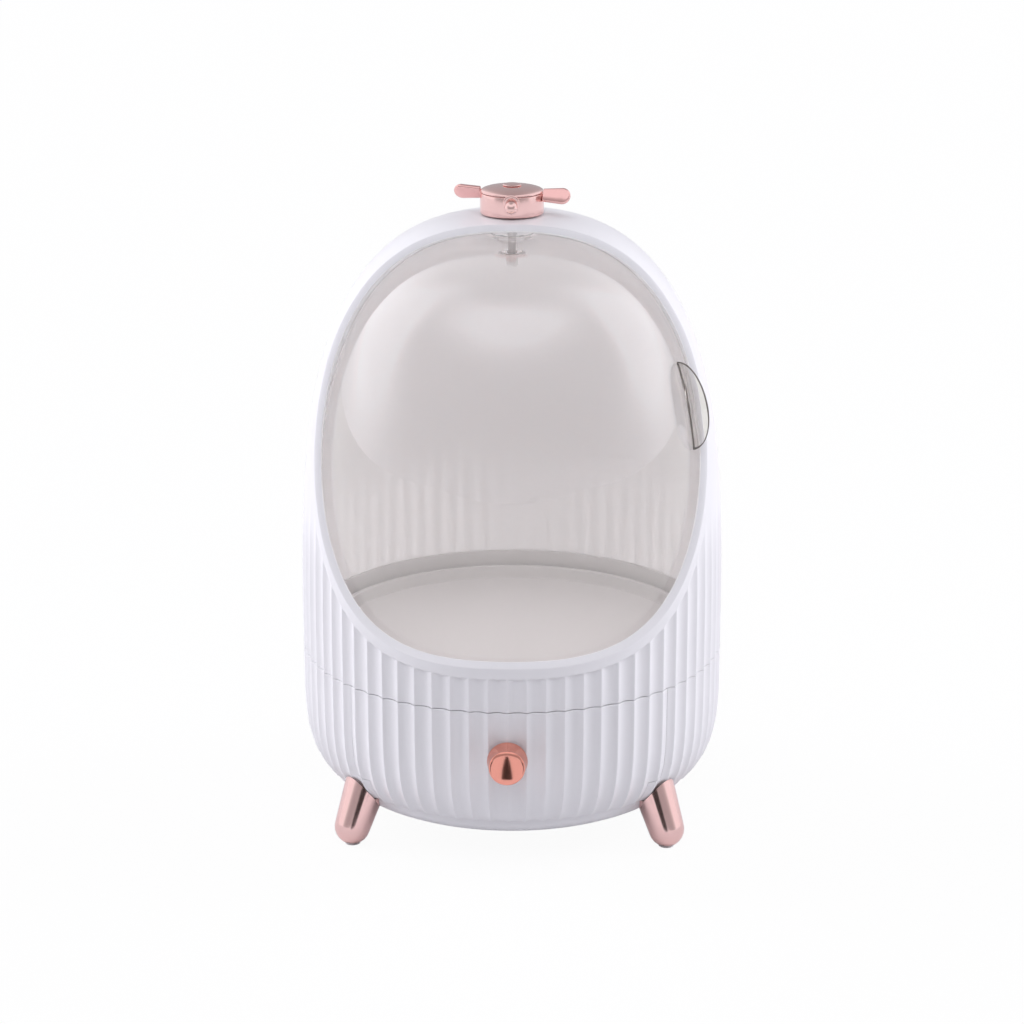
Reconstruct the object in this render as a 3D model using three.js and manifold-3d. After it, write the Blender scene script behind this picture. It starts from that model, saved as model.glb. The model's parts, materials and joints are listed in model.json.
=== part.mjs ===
// Dustproof makeup organizer: a fluted capsule on four splayed legs. A clear visor turns about the
// upright axis in front of the upper compartment, a drawer slides out of the bowl below the seam,
// and a small propeller spins on top. Millimetres, +Z up, front towards -Y.
import * as THREE from 'three';
import { mergeVertices } from 'three/addons/utils/BufferGeometryUtils.js';
import Module from 'manifold-3d';

const wasm = await Module();
wasm.setup();

// General clearances
const fit = 0.3; // between pieces that touch
const running = 0.6; // between pieces that move past each other
const overrun = 6; // how far a cutter runs past what it cuts
const weld = 1e-4; // corners closer than this are one

// Body: heights are measured from the seam between shell and bowl
const underClearance = 16.8; // flat underside above the ground
const bodyRadius = 125.4;
const domeHeight = 260;
const bowlDepth = 84; // seam to the flat underside
const bowlReachShare = 1.189; // how far past the underside the bowl's curve would close
const wall = 3.6;
const floorThickness = 3;
const domeRiseShare = 3.13; // powers of the dome's curve
const domeRoundShare = 2.76;
const bowlRiseShare = 4.97; // powers of the bowl's curve
const bowlRoundShare = 2;
const bowlLevelShares = [0.75, 0.58, 0.34]; // heights of the rings between sill and seam
const stripInset = 2.1; // plain strip below the drawer's sill, behind the flutes' valleys
const stripHeight = 12.5; // underside to sill

// Flutes round the bowl and the lower shell
const fluteCount = 72;
const fluteSteps = 2; // facets across one flute
const fluteDepth = 1.8;
const fluteFadeStart = 58;
const fluteFadeEnd = 100;

// Window in the shell: in side view its rim stands upright near the axis, then sweeps to the front
const rimSetback = 26; // upright stretch in front of the axis
const rimSill = 26; // lowest point of the rim
const rimSweepTop = 200; // where the sweep to the front begins
const rimSweepShare = 1.7; // power of the sweep's curve
const rimBevel = 5; // width of the bevel along the surface
const rimDepth = 4.2; // depth of the bevel
const bevelStartShare = -0.6; // the cutter starts outside the surface
const bevelEndShare = 1.6; // and ends inside the hollow
const rimLand = 6; // plain band round the window, where the flutes stop
const landInset = 0.25; // how far the band lies below the crests

// Visor
const visorInset = 6; // from the body's surface to the visor's, at the seam
const visorHeadroom = 11; // from the visor's crown to the top of the dome
const visorWall = 2;
const visorHalfAngle = 80;
const visorFoot = 1.6; // lower edge, in its track
const hubRadius = 12;
const hubDepth = 4;
const hubRise = 0.6;
const sleeveRadius = 6;
const sleeveLength = 11.7; // below the visor's crown

// Pull tab on the visor
const tabRimRoom = 6.7; // middle of the plate from the window's rim, round the body at its foot
const tabFoot = 131;
const tabTop = 181;
const tabReach = 9.5;
const tabThickness = 1.8;
const tabRoundShare = 0.8; // power that fills out the half moon

// Visor pivot
const ceilingBossRadius = 8;
const pivotShank = 2.3;
const pivotHeadRadius = 3.4;
const pivotHeadHeight = 6.3;
const pivotCrownShare = 0.7; // narrowing of the head at its lower end
const washerRadius = 8;
const washerThickness = 1.4;
const pivotGrip = 5; // how far the screw reaches into the boss

// Partition floor with its visor track, and the loose tray that lies in it
const partitionThickness = 3;
const partitionDrop = 2.2; // top face below the seam
const trackHeight = 16; // outer ring of the track, which centres the shell
const trackFloor = 0.7;
const trackRoom = 0.8; // either side of the visor
const curbHeight = 7.5;
const curbWidth = 2;
const trayRoom = 0.5; // from the tray to the curb
const trayFloor = 1.9;
const trayRim = 8;
const trayWall = 1.8;

// Screw posts under the partition
const postRadius = 5;
const postRoom = 1.4; // from the rails beside them
const postFrontAngle = 15; // front posts, in front of the axis
const postRearAngle = 25; // rear posts, behind it

// Self-tapping screws
const screwShank = 1.5;
const screwHeadRadius = 3.1;
const screwHeadHeight = 1.6;
const screwTaperShare = 0.6; // narrowing at the tip and on top of the head
const partitionScrewLength = 12;
const knobScrewLength = 14;

// Drawer
const drawerHalfAngle = 47.5; // edges of the front, in flute valleys
const drawerFootHalfAngle = 42.5; // narrower foot of the front, beside the leg tops
const drawerFootHeight = 14.5; // sill to the top of the narrower foot
const drawerTopGap = 0.8;
const boxWidthShare = 0.555; // half width over the body's radius
const boxBackShare = 0.542; // reach behind the axis over the body's radius
const boxWall = 1.8;
const boxTop = 8.5; // below the seam
const boxLift = 1.3; // above the sill
const boxCorner = 10;

// Drawer rails and rear buffer
const railTread = 8; // under the box
const railGuide = 5; // beside the box
const railGuideHeight = 9;
const railRoom = 1.8; // from the rails' corners to the bowl's wall at its floor
const bufferWidth = 24;
const bufferOverlap = 6; // reach above the box's foot
const bufferThickness = 4;

// Drawer knob
const knobDrop = 28.4; // below the seam
const knobBackRadius = 11.5;
const knobFrontRadius = 9.9;
const knobLength = 12.5;
const knobRound = 2.4;
const knobHoleDepth = 8;

// Legs
const legAzimuths = [-50, 50, 130, 230];
const legSplay = 23.2;
const legInset = 5; // foot centre in from the body's radius
const legTipRadius = 10.5;
const legTopRadius = 12.9;
const legRoundAngle = 60; // the tip's rounding, below its widest ring
const legTopRise = 25; // above the underside
const padRadius = 4.5;
const padThickness = 2.4;
const padProud = 1;
const legBossRadius = 6;
const legBossLength = 6.5;
const legScrewBite = 12; // reach of the screw into the leg

// Propeller
const drumRadius = 19;
const drumHeight = 13.2;
const drumLift = 0.5; // above the dome
const drumRecess = 3.6;
const drumRim = 2.2;
const capRise = 2;
const capPlug = 1.4;
const buttonRadius = 5.7;
const buttonHeight = 1.2;
const buttonCrownShare = 0.8; // narrowing towards the top
const axleRadius = 3;
const axleHeadRadius = 5.2;
const axleHeadHeight = 1.3;
const axleFlange = 6;
const axleStub = 3.6;
const bladeTip = 34.6; // from the axis
const bladeChord = 9.6;
const bladeRootShare = 0.8; // chord at the drum over the full chord
const bladeThickness = 2;
const bladePitch = 58;
const bladeYaw = 14;
const bladeDrop = 2.2; // blade centre below the drum's top
const noseDrop = 4.1; // nose centre below the drum's top
const noseRingRadius = 4.7;
const noseRingThickness = 1.5;
const noseRingCrownShare = 0.85; // narrowing at the face
const noseBallRadius = 3.4;
const noseBallAngles = [-50, 75]; // stretch of the ball's curve between stem and tip
const noseStemRadius = 2;
const noseLength = 6.2; // ring face to the ball's centre

// Facet counts
const domeColumns = 72;
const domeRows = 10;
const innerColumns = 36;
const innerRows = 10;
const bowlRows = 4; // above the seam, where the bowl's cutters run out
const visorColumns = 42;
const rimSteps = 80;
const drumColumns = 24;
const roundColumns = 14;
const screwColumns = 8;
const arcSteps = 3; // facets round a small rounded edge
const tabSteps = 8;
const searchSteps = 40; // halvings when a meeting point is searched
const slopeShare = 1e-4; // step for a slope over the dome's height

const degrees = THREE.MathUtils.degToRad;

// Meshes and solids

function solidOf(geometry) {
  const bare = geometry.clone();
  bare.deleteAttribute('normal');
  bare.deleteAttribute('uv');
  const merged = mergeVertices(bare, weld);
  const corners = merged.index.array;
  const faces = [];
  for (let i = 0; i < corners.length; i += 3) {
    const [a, b, c] = corners.subarray(i, i + 3);
    if (a !== b && b !== c && c !== a) faces.push(a, b, c);
  }
  return new wasm.Manifold(new wasm.Mesh({
    numProp: 3,
    vertProperties: new Float32Array(merged.attributes.position.array),
    triVerts: new Uint32Array(faces),
  }));
}

function geometryOf(solid) {
  const mesh = solid.getMesh();
  const geometry = new THREE.BufferGeometry();
  geometry.setAttribute('position', new THREE.BufferAttribute(mesh.vertProperties, 3));
  geometry.setIndex(new THREE.BufferAttribute(mesh.triVerts, 1));
  geometry.computeVertexNormals();
  return geometry;
}

// Faces between two rings of points, which may differ in count; a ring of one point closes an end
function stitch(faces, lower, lowerCount, upper, upperCount) {
  const lowerEnd = lowerCount > 1 ? lowerCount : 0;
  const upperEnd = upperCount > 1 ? upperCount : 0;
  let i = 0;
  let j = 0;
  while (i < lowerEnd || j < upperEnd) {
    if (j >= upperEnd || (i < lowerEnd && (i + 1) / lowerCount <= (j + 1) / upperCount)) {
      faces.push(lower + i, lower + ((i + 1) % lowerCount), upper + (j % upperCount));
      i += 1;
    } else {
      faces.push(lower + (i % lowerCount), upper + ((j + 1) % upperCount), upper + j);
      j += 1;
    }
  }
}

// Closed solid through a stack of rings, from its lower centre to its upper centre
function loft(rings) {
  const points = [];
  const faces = [];
  const starts = rings.map((ring) => points.push(...ring) - ring.length);
  for (let level = 0; level + 1 < rings.length; level += 1) {
    stitch(faces, starts[level], rings[level].length, starts[level + 1], rings[level + 1].length);
  }
  const geometry = new THREE.BufferGeometry().setFromPoints(points);
  geometry.setIndex(faces);
  return solidOf(geometry);
}

// Turned solid about Z; the profile runs from the lower end of the axis to the upper end
function turned(profile, columns) {
  const points = profile.map(([radius, height]) => new THREE.Vector2(radius, height));
  const geometry = new THREE.LatheGeometry(points, columns);
  return solidOf(geometry.rotateX(Math.PI / 2));
}

const rod = (radius, from, to, columns) => (
  turned([[0, from], [radius, from], [radius, to], [0, to]], columns));

const moved = (solid, x, y, z) => solidOf(geometryOf(solid).translate(x, y, z));

// Points along an arc, from one angle to another in degrees
const arc = (x, y, radius, from, to, steps = arcSteps) => Array.from({ length: steps + 1 }, (_, i) => {
  const angle = degrees(from + (to - from) * (i / steps));
  return [x + radius * Math.cos(angle), y + radius * Math.sin(angle)];
});

// Same turned solid, laid with its axis along -Y
function turnedForward(profile, columns, height) {
  const points = profile.map(([radius, along]) => new THREE.Vector2(radius, along));
  const geometry = new THREE.LatheGeometry(points, columns);
  geometry.rotateX(Math.PI);
  return solidOf(geometry.translate(0, 0, height));
}

// Upright prism on an outline in X and Y
function prism(outline, from, to) {
  const shape = new THREE.Shape(outline.map(([x, y]) => new THREE.Vector2(x, y)));
  const geometry = new THREE.ExtrudeGeometry(shape, { depth: to - from, bevelEnabled: false });
  return solidOf(geometry.translate(0, 0, from));
}

// Upright prism that holds all within an angle either side of the front; its sides draw in by a gap
function frontSector(halfAngle, from, to, gap) {
  const reach = 2 * bodyRadius;
  const side = reach * Math.sin(degrees(halfAngle));
  const sideY = -reach * Math.cos(degrees(halfAngle));
  const shift = gap / Math.sin(degrees(halfAngle));
  const shoulder = sideY - shift;
  return prism([[0, -shift], [-side, shoulder], [-side, -reach], [side, -reach], [side, shoulder]],
    from, to);
}

// Body curve: radius at a height above the seam, drawn in all round by an inset

const seamHeight = bowlDepth + underClearance; // above the ground
const bowlReach = bowlDepth * bowlReachShare;
const drawerSill = bowlDepth - stripHeight; // below the seam

const domeRadius = (height, radius, reach) => (
  radius * (1 - THREE.MathUtils.clamp(height / reach, 0, 1) ** domeRiseShare) ** (1 / domeRoundShare));

function bodyCurve(height, inset) {
  if (height >= 0) return domeRadius(height, bodyRadius - inset, domeHeight - inset);
  const share = Math.min(-height / (bowlReach - inset), 1);
  return (bodyRadius - inset) * (1 - share ** bowlRiseShare) ** (1 / bowlRoundShare);
}

// Heights from one level to the top of a dome, closer together where it turns in
function domeLevels(from, reach, count) {
  const start = Math.asin(Math.min(from / reach, 1) ** (domeRiseShare / 2));
  return Array.from({ length: count }, (_, i) => (
    reach * Math.sin(start + (Math.PI / 2 - start) * (i / count)) ** (2 / domeRiseShare)));
}

function ring(height, columns, radiusAt) {
  return Array.from({ length: columns }, (_, i) => {
    const angle = (2 * Math.PI * i) / columns;
    const radius = radiusAt(i / columns);
    return new THREE.Vector3(radius * Math.cos(angle), radius * Math.sin(angle), height);
  });
}

const centre = (height) => [new THREE.Vector3(0, 0, height)];
const plainRing = (height, columns, inset) => ring(height, columns, () => bodyCurve(height, inset));

// A flute is a shallow hollow between two crests; it dies out up the shell
function flutedRing(height) {
  const fade = THREE.MathUtils.smoothstep(height, fluteFadeStart, fluteFadeEnd);
  return ring(height, fluteCount * fluteSteps, (share) => {
    const across = (share * fluteCount) % 1;
    return bodyCurve(height, 0) - fluteDepth * (1 - fade) * (1 - (2 * across - 1) ** 2);
  });
}

const bowlLevels = bowlLevelShares.map((share) => -bowlDepth * share);
const stripMiddle = -(bowlDepth + drawerSill) / 2;
const fadeMiddle = (fluteFadeStart + fluteFadeEnd) / 2;
const flutedLevels = [fit / 2, fluteFadeStart, fadeMiddle];
const plainLevels = domeLevels(fluteFadeEnd, domeHeight, domeRows);
const stripRings = (clear) => [-bowlDepth, stripMiddle, -drawerSill - clear].map((level) => (
  plainRing(level, domeColumns, stripInset - clear)));

// Fluted down to the sill, with a plain strip below it
function flutedBowl() {
  const top = -fit / 2;
  const fluted = [-drawerSill, ...bowlLevels, top].map(flutedRing);
  return loft([centre(-bowlDepth), ...stripRings(0), ...fluted, centre(top)]);
}

// What the legs are cut to: the bowl's crests and its strip, with a clearance all round
function bowlEnvelope() {
  const top = bowlLevels[bowlLevels.length - 1];
  const rings = [-drawerSill - fit, ...bowlLevels].map((level) => plainRing(level, domeColumns, -fit));
  return loft([centre(-bowlDepth), ...stripRings(fit), ...rings, centre(top)]);
}

function flutedShell() {
  const plain = plainLevels.map((level) => plainRing(level, domeColumns, 0));
  return loft([centre(flutedLevels[0]), ...flutedLevels.map(flutedRing), ...plain, centre(domeHeight)]);
}

// Shell without flutes, on the same levels, a little below the crests
function landShell() {
  const rings = [...flutedLevels, ...plainLevels].map((level) => (
    ring(level, domeColumns, () => bodyCurve(level, 0) - landInset)));
  return loft([centre(flutedLevels[0]), ...rings, centre(domeHeight - landInset)]);
}

// Plain body, drawn in by an inset, from one height up to the pole
function plainBody(from, inset, columns, rows) {
  const below = [from, ...[stripMiddle, -drawerSill, ...bowlLevels].filter((level) => level > from)];
  const above = domeLevels(from < 0 ? 0 : from + overrun, domeHeight - inset, rows);
  const rings = [...below, ...above].map((level) => plainRing(level, columns, inset));
  return loft([centre(from), ...rings, centre(domeHeight - inset)]);
}

// Window: the rim is where the side view's sweep meets the body's surface

function rimFront(height) {
  if (height >= rimSweepTop) return rimSetback;
  const share = Math.min((rimSweepTop - height) / (rimSweepTop - rimSill), 1);
  return bodyRadius - (bodyRadius - rimSetback) * (1 - share ** rimSweepShare) ** (1 / rimSweepShare);
}

const windowMiddle = (rimSill + rimSweepTop) / 2;

function rimPoint(angle) {
  const at = (reach) => [reach * Math.cos(angle), windowMiddle + reach * Math.sin(angle)];
  let inside = 0;
  let outside = bodyRadius + domeHeight;
  for (let step = 0; step < searchSteps; step += 1) {
    const reach = (inside + outside) / 2;
    const [x, z] = at(reach);
    const radius = z < domeHeight ? bodyCurve(z, 0) : 0;
    const front = Math.sqrt(Math.max(radius ** 2 - x ** 2, 0));
    if (front > rimFront(z)) inside = reach;
    else outside = reach;
  }
  const [x, z] = at(inside);
  return new THREE.Vector3(x, -Math.sqrt(bodyCurve(z, 0) ** 2 - x ** 2), z);
}

// Rim points with the surface's normal and the way along the surface into the window
function rimFrames() {
  const points = Array.from({ length: rimSteps }, (_, i) => rimPoint((2 * Math.PI * i) / rimSteps));
  return points.map((point, i) => {
    const next = points[(i + 1) % rimSteps];
    const last = points[(i + rimSteps - 1) % rimSteps];
    const small = domeHeight * slopeShare;
    const slope = (bodyCurve(point.z + small, 0) - bodyCurve(point.z - small, 0)) / (2 * small);
    const radius = Math.hypot(point.x, point.y);
    const normal = new THREE.Vector3(point.x / radius, point.y / radius, -slope).normalize();
    const inward = normal.clone().cross(next.clone().sub(last)).normalize();
    return { point, normal, inward };
  });
}

// Cutter for the bevelled opening: a funnel through the wall and a prism in front of it
function windowCutter(frames) {
  const bevel = ({ normal, inward }) => (
    inward.clone().multiplyScalar(rimBevel).addScaledVector(normal, -rimDepth));
  const frontY = -bodyRadius - overrun;
  const outer = frames.map((frame) => frame.point.clone().addScaledVector(bevel(frame), bevelStartShare));
  const inner = frames.map((frame) => frame.point.clone().addScaledVector(bevel(frame), bevelEndShare));
  const front = outer.map((point) => new THREE.Vector3(point.x, frontY, point.z));
  const middle = (y) => [new THREE.Vector3(0, y, windowMiddle)];
  return loft([middle(-rimSetback / 2), inner, outer, front, middle(frontY)]);
}

// Prism through the front of the body that takes in the plain band round the window
function landPrism(frames) {
  const edge = frames.map(({ point, inward }) => point.clone().addScaledVector(inward, -rimLand));
  const at = (y) => edge.map((point) => new THREE.Vector3(point.x, y, point.z));
  const middle = (y) => [new THREE.Vector3(0, y, windowMiddle)];
  const frontY = -bodyRadius - overrun;
  const backY = -rimSetback / 2;
  return loft([middle(backY), at(backY), at(frontY), middle(frontY)]);
}

// Shared positions worked out from the sizes above

const ceiling = domeHeight - wall;
const visorReach = domeHeight - visorHeadroom;
const sleeveFoot = visorReach - sleeveLength;
const bossFoot = visorReach + hubRise + fit;
const visorRadius = bodyRadius - visorInset;
const trackOuter = bodyRadius - wall - fit;
const trackInner = visorRadius + trackRoom;
const curbOuter = visorRadius - visorWall - trackRoom;
const partitionTop = -partitionDrop;
const partitionFoot = partitionTop - partitionThickness;
const bowlFloor = -bowlDepth + floorThickness;
const legCentre = -seamHeight + legTipRadius;
const legRing = bodyRadius - legInset;
const legLength = (legTopRise - bowlDepth - legCentre) / Math.cos(degrees(legSplay));
const boxHalfWidth = bodyRadius * boxWidthShare;
const boxBack = bodyRadius * boxBackShare;
const boxFoot = drawerSill - boxLift; // below the seam
const railOuter = boxHalfWidth + running + railGuide;
const postRing = (railOuter + postRadius + postRoom) / Math.cos(degrees(postRearAngle));
const postAzimuths = [90 - postFrontAngle, 90 + postRearAngle, 270 - postRearAngle, 270 + postFrontAngle];
const screwHole = screwShank + fit;

// Upper shell

function upperShell() {
  const frames = rimFrames();
  const hollow = plainBody(-overrun, wall, innerColumns, innerRows);
  const land = landShell().intersect(landPrism(frames));
  const boss = rod(ceilingBossRadius, bossFoot, ceiling + wall / 2, roundColumns);
  const pivotHole = rod(pivotShank + fit, bossFoot - overrun, bossFoot + pivotGrip + fit, screwColumns);
  const axleHole = rod(pivotShank + fit, domeHeight - axleStub - fit, domeHeight + overrun, screwColumns);
  return flutedShell().add(land).subtract(hollow).subtract(windowCutter(frames))
    .add(boss).subtract(pivotHole).subtract(axleHole);
}

// Bowl and drawer front share one fluted wall, parted along flute valleys

function drawerRegion(gap, top) {
  const sill = -drawerSill + gap;
  const step = sill + drawerFootHeight;
  const head = frontSector(drawerHalfAngle, step, top, gap);
  return head.add(frontSector(drawerFootHalfAngle, sill, step + fit, gap));
}

const bowlHollow = (inset) => plainBody(bowlFloor, inset, innerColumns, bowlRows);

// Solid turned about a leg's axis, in the plane that holds +X; heights run up from the foot's centre
function onLegAxis(profile, columns) {
  const points = profile.map(([radius, height]) => new THREE.Vector2(radius, height));
  const geometry = new THREE.LatheGeometry(points, columns).rotateX(Math.PI / 2);
  geometry.rotateY(-degrees(legSplay));
  return solidOf(geometry.translate(legRing, 0, legCentre));
}

// Distance up the leg's axis at which it meets the body's curve
function legMeets(inset) {
  let low = 0;
  let high = legLength;
  for (let step = 0; step < searchSteps; step += 1) {
    const along = (low + high) / 2;
    const height = legCentre + along * Math.cos(degrees(legSplay));
    const radius = legRing - along * Math.sin(degrees(legSplay));
    if (radius < bodyCurve(height, inset)) high = along;
    else low = along;
  }
  return low;
}

const legSeat = legMeets(0);
const legBossTop = legMeets(wall) + legBossLength;

function turnedTo(solid, azimuth) {
  const geometry = geometryOf(solid);
  return solidOf(geometry.rotateZ(degrees(azimuth - 90)));
}

function baseBowl() {
  let bowl = flutedBowl().subtract(bowlHollow(wall)).subtract(drawerRegion(-fit / 2, overrun));
  const boss = onLegAxis([[0, legSeat + wall], [legBossRadius, legSeat + wall],
    [legBossRadius, legBossTop], [0, legBossTop]], roundColumns);
  const within = bowlHollow((stripInset + wall) / 2);
  const hole = onLegAxis([[0, 0], [screwHole, 0], [screwHole, legLength * 2], [0, legLength * 2]],
    screwColumns);
  legAzimuths.forEach((azimuth) => {
    bowl = bowl.add(turnedTo(boss, azimuth).intersect(within)).subtract(turnedTo(hole, azimuth));
  });
  const postTop = partitionFoot - fit;
  postAzimuths.forEach((azimuth) => {
    const post = rod(postRadius, bowlFloor - fit, postTop, roundColumns);
    const bore = rod(screwHole, postTop - partitionScrewLength, postTop + overrun, screwColumns);
    bowl = bowl.add(turnedTo(moved(post, postRing, 0, 0), azimuth).intersect(within))
      .subtract(turnedTo(moved(bore, postRing, 0, 0), azimuth));
  });
  return bowl;
}

const knobHole = (radius) => turnedForward(
  [[0, boxHalfWidth / 2], [radius, boxHalfWidth / 2], [radius, bodyRadius * 2], [0, bodyRadius * 2]],
  screwColumns,
  -knobDrop,
);

const drawerFront = () => flutedBowl().subtract(bowlHollow(wall))
  .intersect(drawerRegion(fit / 2, -drawerTopGap)).subtract(knobHole(screwHole));

// Drawer box: straight sides, rounded back corners, and a front that follows the bowl's inner wall
function boxOutline(inset) {
  const side = boxHalfWidth - inset;
  const back = boxBack - inset;
  const corner = boxCorner - inset;
  return [[-side, -bodyRadius], [side, -bodyRadius], ...arc(side - corner, back - corner, corner, 0, 90),
    ...arc(corner - side, back - corner, corner, 90, 180)];
}

function drawerBox() {
  const outside = prism(boxOutline(0), -boxFoot, -boxTop).intersect(bowlHollow(wall + fit));
  const inside = prism(boxOutline(boxWall), -boxFoot + boxWall, overrun)
    .intersect(bowlHollow(wall + fit + boxWall));
  return outside.subtract(inside).subtract(knobHole(screwHole));
}

// Partition floor, loose tray and rails

function partitionFloor() {
  const profile = [[0, partitionFoot], [trackOuter, partitionFoot], [trackOuter, trackHeight],
    [trackInner, trackHeight], [trackInner, trackFloor], [curbOuter, trackFloor], [curbOuter, curbHeight],
    [curbOuter - curbWidth, curbHeight], [curbOuter - curbWidth, partitionTop], [0, partitionTop]];
  const holes = postAzimuths.map((azimuth) => {
    const shank = rod(screwHole, partitionFoot - overrun, partitionTop + overrun, screwColumns);
    const head = rod(screwHeadRadius + fit, partitionTop - screwHeadHeight - fit, partitionTop + overrun,
      screwColumns);
    return turnedTo(moved(shank.add(head), postRing, 0, 0), azimuth);
  });
  return holes.reduce((floor, hole) => floor.subtract(hole), turned(profile, innerColumns));
}

function storageTray() {
  const edge = curbOuter - curbWidth - trayRoom;
  const foot = partitionTop + fit;
  return turned([[0, foot], [edge, foot], [edge, trayRim], [edge - trayWall, trayRim],
    [edge - trayWall, foot + trayFloor], [0, foot + trayFloor]], innerColumns);
}

function drawerRail() {
  const inner = boxHalfWidth - railTread;
  const guide = boxHalfWidth + running;
  const tread = -boxFoot - fit;
  const base = bowlFloor + fit;
  const shape = new THREE.Shape([[inner, base], [railOuter, base], [railOuter, tread + railGuideHeight],
    [guide, tread + railGuideHeight], [guide, tread], [inner, tread]]
    .map(([x, z]) => new THREE.Vector2(x, z)));
  const reach = bodyCurve(bowlFloor, wall) * Math.cos(Math.PI / innerColumns) - railRoom;
  const half = Math.sqrt(reach ** 2 - railOuter ** 2);
  const geometry = new THREE.ExtrudeGeometry(shape, { depth: 2 * half, bevelEnabled: false });
  geometry.rotateX(Math.PI / 2);
  return solidOf(geometry.translate(0, half, 0));
}

function drawerBuffer() {
  const near = boxBack + running;
  const far = near + bufferThickness;
  const half = bufferWidth / 2;
  const foot = bowlFloor + fit;
  return prism([[-half, near], [half, near], [half, far], [-half, far]], foot, bufferOverlap - boxFoot);
}

// Visor, its tab and its pivot

function visor() {
  const sheet = (inset, from) => {
    const radius = visorRadius - inset;
    const reach = visorReach - inset;
    const levels = [from, ...domeLevels(visorFoot + overrun, reach, innerRows)];
    return loft([centre(from), ...levels.map((level) => (
      ring(level, visorColumns, () => domeRadius(level, radius, reach)))), centre(reach)]);
  };
  const shell = sheet(0, visorFoot).subtract(sheet(visorWall, visorFoot - overrun));
  const sector = shell.intersect(frontSector(visorHalfAngle, -overrun, visorReach + overrun, 0));
  const hub = rod(hubRadius, visorReach - hubDepth, visorReach + hubRise, drumColumns);
  const sleeve = rod(sleeveRadius, sleeveFoot, visorReach - hubDepth / 2, roundColumns);
  const bore = rod(pivotShank + running, sleeveFoot - overrun, visorReach + overrun, roundColumns);
  return sector.add(hub).add(sleeve).subtract(bore);
}

// Half-moon plate that stands on the visor; drawn in radius and height, then turned to its azimuth,
// where its foot stays clear of the window's rim
function visorTab() {
  const radius = bodyCurve(tabFoot, 0);
  const azimuth = Math.acos(rimFront(tabFoot) / radius) - tabRimRoom / radius;
  const foot = (share) => {
    const height = tabFoot + (tabTop - tabFoot) * share;
    return new THREE.Vector2(domeRadius(height, visorRadius, visorReach) + fit, height);
  };
  const low = foot(0);
  const high = foot(1);
  const out = new THREE.Vector2(high.y - low.y, low.x - high.x).normalize();
  const outer = Array.from({ length: 2 * tabSteps - 1 }, (_, i) => {
    const share = (i + 1) / (2 * tabSteps);
    return low.clone().lerp(high, share)
      .addScaledVector(out, tabReach * Math.sin(Math.PI * share) ** tabRoundShare);
  });
  const inner = Array.from({ length: tabSteps + 1 }, (_, i) => foot(1 - i / tabSteps));
  const shape = new THREE.Shape([...outer, ...inner]);
  const geometry = new THREE.ExtrudeGeometry(shape, { depth: tabThickness, bevelEnabled: false });
  geometry.translate(0, 0, -tabThickness / 2).rotateX(Math.PI / 2);
  return turnedTo(solidOf(geometry), THREE.MathUtils.radToDeg(azimuth));
}

function pivotScrew() {
  const washerFoot = sleeveFoot - fit - washerThickness;
  const headTop = washerFoot - fit;
  const foot = headTop - pivotHeadHeight;
  const tip = bossFoot + pivotGrip;
  return turned([[0, foot], [pivotHeadRadius * pivotCrownShare, foot],
    [pivotHeadRadius, foot + pivotHeadRadius * (1 - pivotCrownShare)], [pivotHeadRadius, headTop],
    [pivotShank, headTop], [pivotShank, tip], [0, tip]], roundColumns);
}

function pivotWasher() {
  const top = sleeveFoot - fit;
  const disc = rod(washerRadius, top - washerThickness, top, roundColumns);
  return disc.subtract(rod(pivotShank + fit, top - overrun, top + overrun, roundColumns));
}

// Small screws: the head's upper face lies at the given height and the shank hangs down
function panScrew(length) {
  const neck = -screwHeadHeight;
  const foot = neck - length;
  return turned([[0, foot], [screwShank * screwTaperShare, foot], [screwShank, foot + screwShank],
    [screwShank, neck], [screwHeadRadius, neck], [screwHeadRadius, neck / 2],
    [screwHeadRadius * screwTaperShare, 0], [0, 0]], screwColumns);
}

// Legs

function leg() {
  const round = arc(0, 0, legTipRadius, -legRoundAngle, 0);
  const post = onLegAxis([[0, -legTipRadius], ...round, [legTopRadius, legLength], [0, legLength]],
    roundColumns);
  const bore = onLegAxis([[0, legSeat - legScrewBite - fit], [screwHole, legSeat - legScrewBite - fit],
    [screwHole, 2 * legLength], [0, 2 * legLength]], screwColumns);
  const ground = -seamHeight;
  const below = rod(2 * legTopRadius, ground - overrun, ground + padProud, screwColumns);
  const socket = rod(padRadius + fit, ground - overrun, ground + padThickness + fit, roundColumns);
  return post.subtract(bowlEnvelope()).subtract(bore)
    .subtract(moved(below, legRing, 0, 0)).subtract(moved(socket, legRing, 0, 0));
}

const legScrewHead = legBossTop + fit + screwHeadHeight;

function legScrew() {
  const length = legBossTop + fit - legSeat + legScrewBite;
  const geometry = geometryOf(panScrew(length)).translate(0, 0, legScrewHead);
  geometry.rotateY(-degrees(legSplay));
  return solidOf(geometry.translate(legRing, 0, legCentre));
}

const footPad = () => (
  moved(rod(padRadius, -seamHeight, -seamHeight + padThickness, roundColumns), legRing, 0, 0));

// Drawer knob: a short cone with a rounded front edge
function knob() {
  const back = bodyRadius + fit;
  const front = back + knobLength;
  const round = arc(knobFrontRadius - knobRound, front - knobRound, knobRound, 0, 90);
  const mouth = back - overrun;
  const end = back + knobHoleDepth;
  const body = turnedForward([[0, back], [knobBackRadius, back], ...round, [0, front]],
    roundColumns, -knobDrop);
  const hole = turnedForward([[0, mouth], [screwHole, mouth], [screwHole, end], [0, end]],
    screwColumns, -knobDrop);
  return body.subtract(hole);
}

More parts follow.
